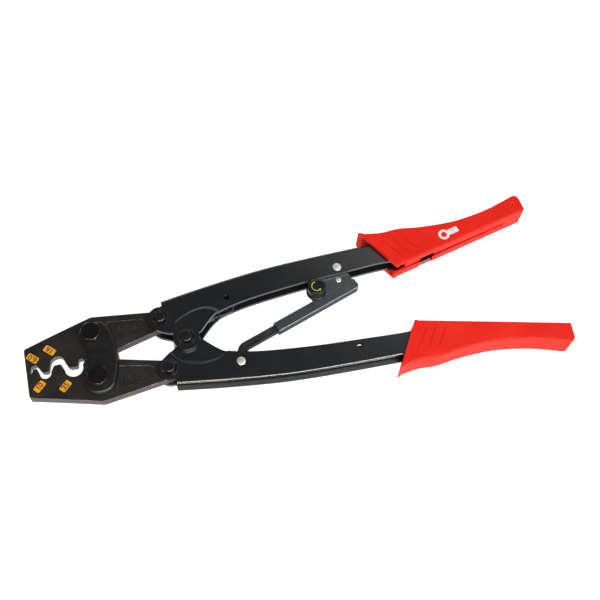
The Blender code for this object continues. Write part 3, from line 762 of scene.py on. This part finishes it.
# ---------- handles
OUTER_EDGE = [(-12.8, 32.7), (22.0, 38.1), (62.0, 42.9), (100.0, 45.0), (150.0, 46.3), (190.0, 46.8),
              (214.0, 48.3), (CHANNEL_END_X, 51.4)]
INNER_EDGE = [(26.0, 15.4), (40.0, 19.2), (58.0, 22.1), (90.0, 25.4), (122.0, 27.4), (152.0, 29.0),
              (165.0, 27.2), (182.0, 28.8), (206.0, 35.0), (CHANNEL_END_X, 43.0)]
NECK = [(11.5, 3.1), (15.4, 7.2), (20.3, 11.8)]
THROAT = {1: [(-18.9, 10.4), (-14.6, 7.8), (-9.9, 5.7)], -1: [(-18.9, 12.4), (-14.4, 9.0), (-9.6, 5.4)]}
BEND_R = 2.8
BEND_STEPS = 6
PRESS_W = 2.2
GRID = 0.8


def pressed_crown(sign):
    """The line along which a cheek is pressed out of, or into, the line of its sheet."""
    if sign > 0:
        return smooth([(27.5, 12.0), (26.0, 15.5), (22.4, 18.6), (17.3, 20.5), (10.7, 20.5), (4.9, 18.9),
                       (-1.5, 16.2), (-6.4, 12.6), (-11.0, 4.6)], 5)
    return smooth([(29.0, 12.0), (26.3, 15.4), (22.6, 17.6), (17.8, 19.6), (10.7, 20.6), (2.9, 19.6),
                   (-3.1, 17.2), (-7.8, 13.8), (-13.6, 6.6)], 5)


def press_share(point, crown):
    """0 outside the pressed area of a cheek, 1 well inside it, and a smooth step between."""
    here = Vector(point)
    nearest = 1e9
    for a, b in zip(crown, crown[1:]):
        start, run = Vector(a), Vector(b) - Vector(a)
        t = min(max((here - start).dot(run) / run.length_squared, 0.0), 1.0)
        nearest = min(nearest, (here - start - run * t).length)
    if not inside(point, crown + [(-14.0, -14.0), (29.0, -14.0)]):
        nearest = -nearest
    t = min(max(nearest / PRESS_W + 0.35, 0.0), 1.0)
    return t * t * (3.0 - 2.0 * t)


def cheek_outline(sign):
    """One cheek of a handle, but for the bend along its outer edge."""
    points = [(OUTER_EDGE[0][0], 28.2)]
    points += arc(TAIL_PIN, NOSE_R, 82.0, 215.0, 22)
    points += smooth([points[-1]] + THROAT[sign] + arc(MAIN_PIVOT, CHEEK_R, 152.0, 152.0, 1)[:1], 3)[1:-1]
    points += arc(MAIN_PIVOT, CHEEK_R, 152.0, 372.0, 36)
    return points + smooth([points[-1]] + NECK + INNER_EDGE, 4)[1:]


def channel(sign):
    """A handle: a U of folded sheet whose cheeks are pressed out or in round the main pivot."""
    outer = smooth(OUTER_EDGE, 4)
    runs = [Vector(b) - Vector(a) for a, b in zip(outer[:1] + outer[:-1], outer[1:] + outer[-1:])]
    normals = [Vector((-run.y, run.x)).normalized() for run in runs]
    top = [(x - n.x * BEND_R, y - n.y * BEND_R) for (x, y), n in zip(outer, normals)]
    rows = []
    for i in range(BEND_STEPS + 1):
        a = math.radians(90.0 * i / BEND_STEPS)
        out, z = BEND_R * math.sin(a), CHANNEL_HALF - BEND_R + BEND_R * math.cos(a)
        rows.append([(x + n.x * out, y + n.y * out, z) for (x, y), n in zip(top, normals)])
    rows += [[(x, y, -z) for x, y, z in row] for row in reversed(rows)]
    bm = bmesh.new()
    verts = [[bm.verts.new((x, y * sign, z)) for x, y, z in row] for row in rows]
    for low, high in zip(verts, verts[1:]):
        for i in range(len(low) - 1):
            bm.faces.new((low[i], low[i + 1], high[i + 1], high[i]))
    for row, z in ((verts[0], CHANNEL_HALF), (verts[-1], -CHANNEL_HALF)):
        rim = [bm.verts.new((x, y * sign, z)) for x, y in cheek_outline(sign)]
        bm.faces.new(rim + list(reversed(row)))
    grid = [(x * GRID - 16.0, 0.0) for x in range(60)] + [((y * GRID - 11.0) * sign, 1.0) for y in range(46)]
    for at, upright in grid:
        across = Vector((1.0 - upright, upright, 0.0))
        everything = bm.verts[:] + bm.edges[:] + bm.faces[:]
        bmesh.ops.bisect_plane(bm, geom=everything, plane_co=across * at, plane_no=across, dist=1e-4)
    crown = pressed_crown(sign)
    for vert in bm.verts:
        if abs(vert.co.z) > CHANNEL_HALF - 0.05 and vert.co.x < 45.0:
            facing = 1.0 if vert.co.z > 0.0 else -1.0
            vert.co.z += facing * sign * JOGGLE * press_share((vert.co.x, vert.co.y * sign), crown)
    bmesh.ops.recalc_face_normals(bm, faces=bm.faces)
    front = max(bm.faces, key=lambda f: f.calc_center_median().z)
    if front.normal.z < 0.0:
        bmesh.ops.reverse_faces(bm, faces=bm.faces)
    name = SIDE_NAME[sign] + "_handle"
    obj = to_object(name + "_sheet", bm)
    modify(obj, "SOLIDIFY", thickness=SHEET * MM, offset=-1.0, use_even_offset=True)
    settle(obj)
    tools = [drill(centre, HOLE_R) for centre in (MAIN_PIVOT, side(TAIL_PIN, sign))]
    tools += [drill(side(centre, sign), 2.0) for centre in (BAR_RIVET, SHEATH_RIVET)]
    cut(obj, *tools)
    soften(obj, 0.3, 2, 60.0, worn_and_glint=True)
    # Faces turned outward on the web take the web enamel, with its painted shade and its painted floor
    # reflection.
    for face in obj.data.polygons:
        if face.material_index == 0 and face.normal.y * sign > 0.78:
            face.material_index = 2
    finish(obj, BODY[sign], [ENAMEL, RUBBED_AND_GLINT, WEB], [name], 50.0)


def stop_lip():
    """A narrow lip on the upper handle's rear cheek, ending in a hook, in a lighter blue-grey enamel that is
    a painted highlight.
    """
    line = smooth([(16.6, 14.2), (21.2, 15.8), (25.9, 16.4), (31.0, 17.1), (35.2, 18.1), (37.6, 20.1),
                   (38.8, 23.4)], 4)
    band = line + list(reversed(set_back(line, 1.3)[:-1] + [(line[-1][0] - 1.4, line[-1][1])]))
    obj = prism("upper_handle_lip", band, -CHANNEL_HALF + 0.2, -CHANNEL_HALF + SHEET + 0.6)
    soften(obj, 0.25, 2, 50.0)
    finish(obj, BODY[1], [LIP_HIGHLIGHT_ENAMEL])


for handle_sign in (1, -1):
    channel(handle_sign)
stop_lip()


# ---------- pins, clips and rivets
def pin(name, centre, outer, body):
    """A headed pin with a turned groove for its clip, and a domed front end."""
    seat = outer + GAP
    groove = seat - 0.1
    clip_top = seat + CLIP_T + 0.1
    end = clip_top + 1.2
    profile = [(4.6, -seat - 1.95), (5.4, -seat - 1.9), (6.0, -seat - 1.5), (6.2, -seat - 1.1),
               (6.2, -seat - 0.15), (6.05, -seat), (SHANK_R, -seat), (SHANK_R, groove),
               (GROOVE_R, groove), (GROOVE_R, clip_top),
               (SHANK_R - 0.1, clip_top), (SHANK_R, clip_top + 0.1), (SHANK_R, end - 0.75),
               (SHANK_R - 0.12, end - 0.42), (SHANK_R - 0.38, end - 0.16), (SHANK_R - 0.75, end - 0.03),
               (SHANK_R - 1.1, end)]
    finish(turned(name + "_turned", centre, profile, 48), body, [PIN], [name], 32.0)


def clip(name, centre, outer, opening, body):
    """A stamped retaining ring: three fingers in the pin's groove, and a gap to push it on by."""
    low = outer + GAP
    start, end = opening + 40.0, opening + 320.0
    outline = arc(centre, CLIP_R, start, end, 44)
    finger_r, web_r = GROOVE_R + 0.15, 5.15
    spans = ((end, end - 22.0, finger_r), (end - 28.0, end - 108.0, web_r),
             (end - 116.0, end - 164.0, finger_r), (end - 172.0, start + 28.0, web_r),
             (start + 22.0, start, finger_r))
    for first, last, radius in spans:
        outline += arc(centre, radius, first, last, 10)
    obj = prism(name + "_stamped", outline, low, low + CLIP_T)
    soften(obj, 0.16, 2, 40.0)
    finish(obj, body, [CLIP], [name], 40.0)


def dome(radius, height, foot):
    """Half a profile of a rivet head: a short straight foot, then a low dome."""
    points = [(radius - 0.12, foot), (radius, foot + 0.12)]
    for i in range(1, 8):
        a = math.radians(82.0 * i / 7)
        points.append((radius * math.cos(a), foot + height * (0.25 + 0.75 * math.sin(a))))
    return points


def rivet(name, centre, outer, head_r, shank_r, height, body):
    half = [(shank_r, outer + GAP)] + dome(head_r, height, outer + GAP)
    profile = [(r, -z) for r, z in reversed(half)] + half
    finish(turned(name + "_headed", centre, profile, 40), body, [BRIGHT], [name], 60.0)


CHEEK_Z = CHANNEL_HALF + JOGGLE
for pin_sign, gap_at in ((1, 276.0), (-1, 240.0)):
    prefix = SIDE_NAME[pin_sign] + "_tail"
    pin(prefix + "_pin", side(TAIL_PIN, pin_sign), CHANNEL_HALF, BODY[pin_sign])
    clip(prefix + "_clip", side(TAIL_PIN, pin_sign), CHANNEL_HALF, gap_at, BODY[pin_sign])
pin("main_pivot_pin", MAIN_PIVOT, CHEEK_Z, BODY[-1])
clip("main_pivot_clip", MAIN_PIVOT, CHEEK_Z, 259.0, BODY[-1])
rivet("bar_rivet", side(BAR_RIVET, -1), CHANNEL_HALF, 3.1, 1.6, 0.7, BODY[-1])
rivet("sheath_rivet", SHEATH_RIVET, CHANNEL_HALF, 3.1, 1.6, 0.7, BODY[1])
rivet("pawl_pin", along_bar([PAWL_SN])[0], EAR_OUT_Z, 2.0, 1.25, 0.5, "sheath_body")


# ---------- grips
GRIP_OUTER = [(144.0, 54.1), (156.0, 52.5), (169.5, 53.2), (185.0, 51.3), (206.0, 50.5), (222.0, 51.8),
              (240.0, 55.2), (254.0, 59.5)]
MOUTH = ((139.3, 55.6), (159.8, 22.0))
SKIN = 0.4
POCKET_GAP = 0.4
LINE_HALF_W = 0.36


def grip_outline():
    end = [(*MOUTH[1], 0.0), (GRIP_END_X + 0.15, 48.4, 1.5), (GRIP_END_X - 1.6, 64.2, 4.0),
           (254.0, 59.5, 0.0)]
    return list(MOUTH) + rounded(end, 4)[1:-1] + list(reversed(smooth(GRIP_OUTER, 4)))


def grip_block(name, sign, depth, round_r):
    """The grip's outer form, shrunk by depth, with every edge rounded but those of its mouth."""
    bm = bmesh.new()
    outline = inset(grip_outline(), depth)
    half = GRIP_HALF - depth
    rings = [[bm.verts.new((x, y * sign, z)) for x, y in outline] for z in (-half, half)]
    mouth = {rings[0][0], rings[0][1], rings[1][0], rings[1][1]}
    count = len(outline)
    for i in range(count):
        j = (i + 1) % count
        bm.faces.new((rings[0][i], rings[0][j], rings[1][j], rings[1][i]))
    bm.faces.new(rings[0])
    bm.faces.new(rings[1])
    bmesh.ops.recalc_face_normals(bm, faces=bm.faces)
    long_edges = [e for e in bm.edges if abs(e.verts[0].co.z - e.verts[1].co.z) < 0.1
                  and not (e.verts[0] in mouth and e.verts[1] in mouth)]
    bmesh.ops.bevel(bm, geom=long_edges, offset=round_r, segments=5, profile=0.5, affect="EDGES",
                    clamp_overlap=True)
    return to_object(name, bm)


def groove(start, end, sign):
    """Cutters for one engraved line on the grip's two broad faces."""
    run = (Vector(end) - Vector(start)).normalized()
    lean = math.degrees(math.atan2(run.y, run.x))
    outline = arc(end, LINE_HALF_W, lean - 90.0, lean + 90.0, 5)
    outline += arc(start, LINE_HALF_W, lean + 90.0, lean + 270.0, 5)
    return [prism("groove", placed(outline, sign), z, z + 2.0) for z in (GRIP_HALF - 1.0, -GRIP_HALF - 1.0)]


def grip(sign):
    """A moulded sleeve: raised lip round a slanted mouth, flared pocket, engraved lines and a slot."""
    name = SIDE_NAME[sign] + "_grip"
    obj = grip_block(name + "_moulding", sign, SKIN, 2.4)
    lip = grip_block("lip", sign, 0.0, 2.6)
    ahead = (Vector(MOUTH[1]) - Vector(MOUTH[0])).normalized()
    across = Vector((-ahead.y, ahead.x))
    first, last = Vector(MOUTH[0]) - ahead * 9.0, Vector(MOUTH[1]) + ahead * 9.0
    band = [first - across * 3.0, last - across * 3.0, last + across * 2.1, first + across * 2.1]
    shape(lip, [prism("band", placed(band, sign), -20.0, 20.0)], "INTERSECT")
    unite(obj, lip)
    top = [(x, y + POCKET_GAP) for x, y in smooth(OUTER_EDGE, 4) if x > 172.0]
    bottom = [(x, y - POCKET_GAP) for x, y in smooth(INNER_EDGE, 4) if x > 168.0]
    top[-1] = (CHANNEL_END_X + POCKET_GAP, top[-1][1])
    bottom[-1] = (CHANNEL_END_X + POCKET_GAP, bottom[-1][1])
    flare_top = [(120.0, 52.0), (140.0, 52.0), (150.0, 50.3), (160.0, 49.3)]
    flare_bottom = [(120.0, 22.6), (158.0, 23.6), (165.0, 25.6)]
    pocket = flare_bottom + bottom + list(reversed(top)) + list(reversed(flare_top))
    slot = [(150.0, 10.0), (252.0, 33.0), (252.0, 47.5), (228.0, 42.4), (206.0, 36.8), (182.0, 30.8),
            (150.0, 29.8)]
    window = [(180.8, 20.0), (191.6, 20.0), (191.6, 31.0), (180.8, 28.4)]
    notch = [(150.0, 10.0), (167.6, 10.0), (167.6, 26.0), (150.0, 26.0)]
    wall = CHANNEL_HALF + POCKET_GAP
    tools = [prism(what, placed(outline, sign), low, high) for what, outline, low, high in (
        ("pocket", pocket, -wall, wall), ("slot", slot, -1.7, 1.7),
        ("window", window, -GRIP_HALF - 1.0, 4.2), ("notch", notch, -0.5, wall))]
    lines = (((154.5, 45.5), (166.2, 29.3)), ((162.5, 45.3), (172.3, 30.9)), ((170.6, 45.0), (179.8, 32.1)))
    for start, end in lines:
        tools += groove(start, end, sign)
    cut(obj, *tools)
    soften(obj, 0.14, 1, 55.0)
    finish(obj, BODY[sign], [RED], [name], 45.0)


for grip_sign in (1, -1):
    grip(grip_sign)


def lug_mark():
    """A plain white pictogram of a cable lug printed on the upper grip."""
    low, high = GRIP_HALF - 0.42, GRIP_HALF - 0.34
    at, lean = (201.5, 40.3), 14.0
    tongue = [(2.0, -1.6), (5.0, -2.3), (12.0, -2.3), (12.0, 2.3), (5.0, 2.3), (2.0, 1.6)]
    mark = turned("lug_mark", at, [(4.2, low), (4.2, high)], 40)
    unite(mark, prism("tongue", turned_about(tongue, at, lean), low, high))
    cut(mark, drill(at, 2.2))
    finish(mark, BODY[1], [WHITE_PRINT])


lug_mark()


# ---------- ratchet bar, sheath and knob
def bar_outline():
    """The bar along its own axis: teeth on the upper edge, a bend, and a leg down to the slotted eye."""
    w, pitch, depth, count = BAR_HALF_W, 2.4, 1.1, 16
    leg = (Vector(BAR_EYE) - Vector((-26.5, 0.0))).normalized()
    across = Vector((-leg.y, leg.x)) * w
    first = BAR_END_S - 3.0 - count * pitch
    top = []
    for i in range(count):
        s = first + i * pitch
        top += [(s, w), (s + 0.5, w - depth)]
    top += [(first + count * pitch, w), (BAR_END_S - 1.0, w), (BAR_END_S, w - 1.0)]
    points = list(reversed(top))
    points += arc((-25.5, -4.6), w + 4.6, 90.0, 143.0, 12)
    hub = arc(BAR_EYE, 5.2, 118.0, 335.0, 22)
    points += [(x, BAR_EYE[1] + (y - BAR_EYE[1]) * 1.2) for x, y in hub]
    inner = Vector(BAR_EYE) - leg * 7.2 + across
    points += smooth([(inner.x, inner.y), (-25.6, -w - 0.9), (-23.8, -w)], 3)
    return points + [(BAR_END_S - 1.0, -w), (BAR_END_S, -w + 1.0)]


def ratchet_bar():
    obj = prism("ratchet_bar_milled", along_bar(bar_outline()), -BAR_HALF_Z, BAR_HALF_Z)
    slot = along_bar([(BAR_EYE[0] + a, BAR_EYE[1] + b) for a, b in rounded_box(2.35, 5.1, 2.3, 8)])
    cut(obj, prism("eye_slot", slot, -5.0, 5.0))
    soften(obj, 0.3, 2, 50.0)
    mark_sides(obj)
    finish(obj, "bar_body", [BAR, SHADED_DULL_SIDE, FOLD_HIGHLIGHT], ["ratchet_bar"])


def ear_outline():
    """The two ears of the sheath: from the tube up to the rivet on the upper handle."""
    boss = arc((62.7, 16.5), 5.8, -5.0, 118.0, 14)
    return [(EAR_S, 3.0), (68.2, 3.0)] + boss + [(44.0, 15.6), (36.0, 13.4), (EAR_S, 11.0)]


def ratchet_sheath():
    """Folded sheet: a tube with rounded folds in front, then a channel whose walls rise into ears."""
    n, t, length = SHEATH_HALF_N, SHEATH_SHEET, SHEATH_LEN
    section = rounded_box(n, SHEATH_OUT_Z, FOLD_R, 6)
    loops = [[(*along_bar([(s, across)])[0], high) for across, high in section] for s in (0.4, length + 6.0)]
    obj = loft("ratchet_sheath_folded", loops)
    inner = SHEATH_OUT_Z - t
    bore = [(-5.0, -n + t), (length + 5.0, -n + t), (length + 5.0, n + 1.0), (EAR_S, n + 1.0),
            (EAR_S, n - t), (-5.0, n - t)]
    end = [(length - 1.5, -9.0), (length + 12.0, -9.0), (length + 12.0, 9.0), (length, 9.0), (length, n)]
    end += [(length + 0.3, -n + 2.6), (length + 0.2, -n + 1.8), (length - 0.1, -n + 1.2), (length - 1.5, -n)]
    cut(obj, prism("bore", along_bar(bore), -inner, inner), prism("end", along_bar(end), -9.0, 9.0))
    ears = []
    for facing in (1, -1):
        low, high = sorted((facing * (EAR_OUT_Z - t), facing * EAR_OUT_Z))
        ears.append(soften(prism("ear", along_bar(ear_outline()), low, high), 0.18, 2, 60.0))
    unite(obj, *ears)
    pawl_at, knob_at = along_bar([PAWL_SN, KNOB_SN])
    cut(obj, drill(SHEATH_RIVET, 2.0), drill(pawl_at, 1.6), drill(knob_at, 2.4))
    mark_sides(obj)
    finish(obj, "sheath_body", [SHEATH_ENAMEL, SHADED_DULL_SIDE, FOLD_HIGHLIGHT], ["ratchet_sheath"], 48.0,
           creased=True)


def release_knob():
    """A round knob with a waist, a rolled rim and a dished top that carries a turning arrow."""
    centre = along_bar([KNOB_SN])[0]
    base, top = SHEATH_OUT_Z + GAP, KNOB_TOP_Z
    r = KNOB_R
    profile = [(r + 0.5, base), (r + 0.6, base + 0.2), (r + 0.6, base + 1.2), (r + 0.4, base + 1.6),
               (r - 0.35, base + 2.1), (r - 0.45, base + 3.4), (r - 0.15, base + 4.0), (r, base + 4.4),
               (r, top - 1.5), (r - 0.12, top - 0.9), (r - 0.5, top - 0.35), (r - 1.0, top), (r - 1.35, top),
               (r - 1.6, top - 0.28)]
    knob = turned("release_knob_moulding", centre, profile, 72)
    cut(knob, drill(centre, 2.3, base - 1.0, top - 2.5, 32))
    finish(knob, "knob_body", [KNOB], ["release_knob"], 34.0)
    low, high = top - 0.27, top - 0.2
    mid_r, half_w, start, end = 3.55, 0.32, 95.0, 292.0
    head = [arc(centre, radius, a, a, 1)[0] for radius, a in (
        (mid_r + 1.1, end), (mid_r, end + 26.0), (mid_r - 1.1, end))]
    band = arc(centre, mid_r + half_w, start, end, 36) + head + arc(centre, mid_r - half_w, end, start, 36)
    finish(prism("knob_arrow", band, low, high), "knob_body", [KNOB_PRINT])


def release_shaft():
    """The knob's shaft, whose slotted rear head holds the knob in the sheath's ears."""
    centre = along_bar([KNOB_SN])[0]
    head = -EAR_OUT_Z - GAP
    profile = [(2.4, head - 1.2), (2.9, head - 1.1), (3.2, head - 0.7), (3.2, head), (2.0, head),
               (2.0, KNOB_TOP_Z - 2.8)]
    shaft = turned("release_shaft_turned", centre, profile, 36)
    s, n = KNOB_SN
    unite(shaft, prism("cam", along_bar(arc((s - 1.4, n), 2.3, 0.0, 360.0, 32)[:-1]), -2.0, 2.0))
    slot = [(s - 4.0, n - 0.4), (s + 4.0, n - 0.4), (s + 4.0, n + 0.4), (s - 4.0, n + 0.4)]
    cut(shaft, prism("slot", along_bar(slot), head - 2.0, head - 0.6))
    finish(shaft, "knob_body", [BRIGHT], ["release_shaft"], 32.0)


ratchet_bar()
ratchet_sheath()
release_knob()
release_shaft()
for node, material in (("ratchet_pawl", PIN), ("pawl_spring", BRIGHT)):
    for material_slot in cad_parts[node].material_slots:
        material_slot.material = material


# ---------- floor, light and camera
def floor():
    """A plain pale sheet under the tool."""
    mesh = bpy.data.meshes.new("floor")
    reach = 4.0
    corners = [(-reach, -reach, 0.0), (reach, -reach, 0.0), (reach, reach, 0.0), (-reach, reach, 0.0)]
    mesh.from_pydata(corners, [], [(0, 1, 2, 3)])
    obj = linked("floor", mesh)
    material = bpy.data.materials.new("white_paper")
    material.use_nodes = True
    shader = material.node_tree.nodes["Principled BSDF"]
    shader.inputs["Base Color"].default_value = (0.50, 0.50, 0.50, 1.0)
    shader.inputs["Roughness"].default_value = 1.0
    shader.inputs["Emission Color"].default_value = (1.0, 0.998, 0.994, 1.0)
    shader.inputs["Emission Strength"].default_value = 0.90
    obj.data.materials.append(material)
    obj.location.z = CAD_BOX[0].z - 0.0005


def direction(azimuth, elevation):
    """The way to a place seen from the tool, both angles in radians, azimuth 0 in front of it."""
    level = math.cos(elevation)
    return Vector((math.sin(azimuth) * level, -math.cos(azimuth) * level, math.sin(elevation)))


def softbox(name, azimuth, elevation, distance, size, power, colour, fills=True):
    """A rectangular light that faces the tool; without fills it shows only as a reflection."""
    back = direction(math.radians(azimuth), math.radians(elevation))
    data = bpy.data.lights.new(name, "AREA")
    data.shape = "RECTANGLE"
    data.size, data.size_y = size
    data.energy = power
    data.color = colour
    obj = linked(name, data)
    obj.location = (CAD_BOX[0] + CAD_BOX[1]) / 2.0 + back * distance
    obj.rotation_mode = "QUATERNION"
    obj.rotation_quaternion = back.to_track_quat("Z", "Y")
    obj.visible_diffuse = fills


def camera():
    """The photograph's viewpoint: a perspective camera with a slight roll."""
    azimuth, elevation, roll = (math.radians(v) for v in (-18.8886, 63.1324, 5.7487))
    back = direction(azimuth, elevation)
    level = Vector((math.cos(azimuth), math.sin(azimuth), 0.0))
    upward = back.cross(level)
    right = level * math.cos(roll) + upward * math.sin(roll)
    up = upward * math.cos(roll) - level * math.sin(roll)
    turn = Matrix((right, up, back)).transposed().to_4x4()
    data = bpy.data.cameras.new("camera")
    data.sensor_width = 36.0
    data.lens = 55.654
    data.clip_start, data.clip_end = 0.01, 20.0
    obj = linked("camera", data)
    from_pivot = Vector((-12.70, -271.79, 598.58)) * MM
    obj.matrix_world = Matrix.Translation(ORIGIN + from_pivot) @ turn
    bpy.context.scene.camera = obj


def studio():
    """A dim room whose pale wall shows just above the floor's horizon."""
    world = bpy.data.worlds.new("studio")
    world.use_nodes = True
    nodes, links = world.node_tree.nodes, world.node_tree.links
    rise = nodes.new("ShaderNodeSeparateXYZ")
    links.new(nodes.new("ShaderNodeTexCoord").outputs["Generated"], rise.inputs["Vector"])
    wall = nodes.new("ShaderNodeMapRange")
    for socket, value in (("From Min", 0.12), ("From Max", 0.30), ("To Min", 0.96), ("To Max", 0.12)):
        wall.inputs[socket].default_value = value
    links.new(rise.outputs["Z"], wall.inputs["Value"])
    sky = nodes["Background"]
    sky.inputs["Color"].default_value = (1.0, 1.0, 1.0, 1.0)
    links.new(wall.outputs["Result"], sky.inputs["Strength"])
    bpy.context.scene.world = world


floor()
studio()
softbox("key_softbox", 14.0, 62.0, 1.3, (1.2, 0.40), 10.5, (0.97, 0.99, 1.0))
softbox("front_softbox", 24.0, 28.0, 1.3, (0.60, 0.30), 6.0, (0.93, 0.97, 1.0))
softbox("warm_softbox", -34.0, 26.0, 1.2, (0.50, 0.30), 3.5, (1.0, 0.72, 0.42))
softbox("back_softbox", 168.0, 22.0, 1.4, (1.2, 0.20), 2.6, (1.0, 0.99, 0.97))
softbox("far_right_softbox", 128.0, 52.0, 1.6, (1.0, 0.60), 2.6, (0.95, 0.98, 1.0))
softbox("high_edge_strip", 12.0, 66.0, 1.3, (1.6, 0.12), 26.0, (0.95, 0.98, 1.0), fills=False)
softbox("cool_edge_strip", 30.0, 27.0, 1.3, (0.50, 0.12), 9.0, (0.82, 0.92, 1.0), fills=False)
softbox("warm_edge_strip", -26.0, 27.0, 1.3, (0.60, 0.12), 9.0, (1.0, 0.66, 0.36), fills=False)
camera()
bpy.context.scene.view_settings.view_transform = "Standard"
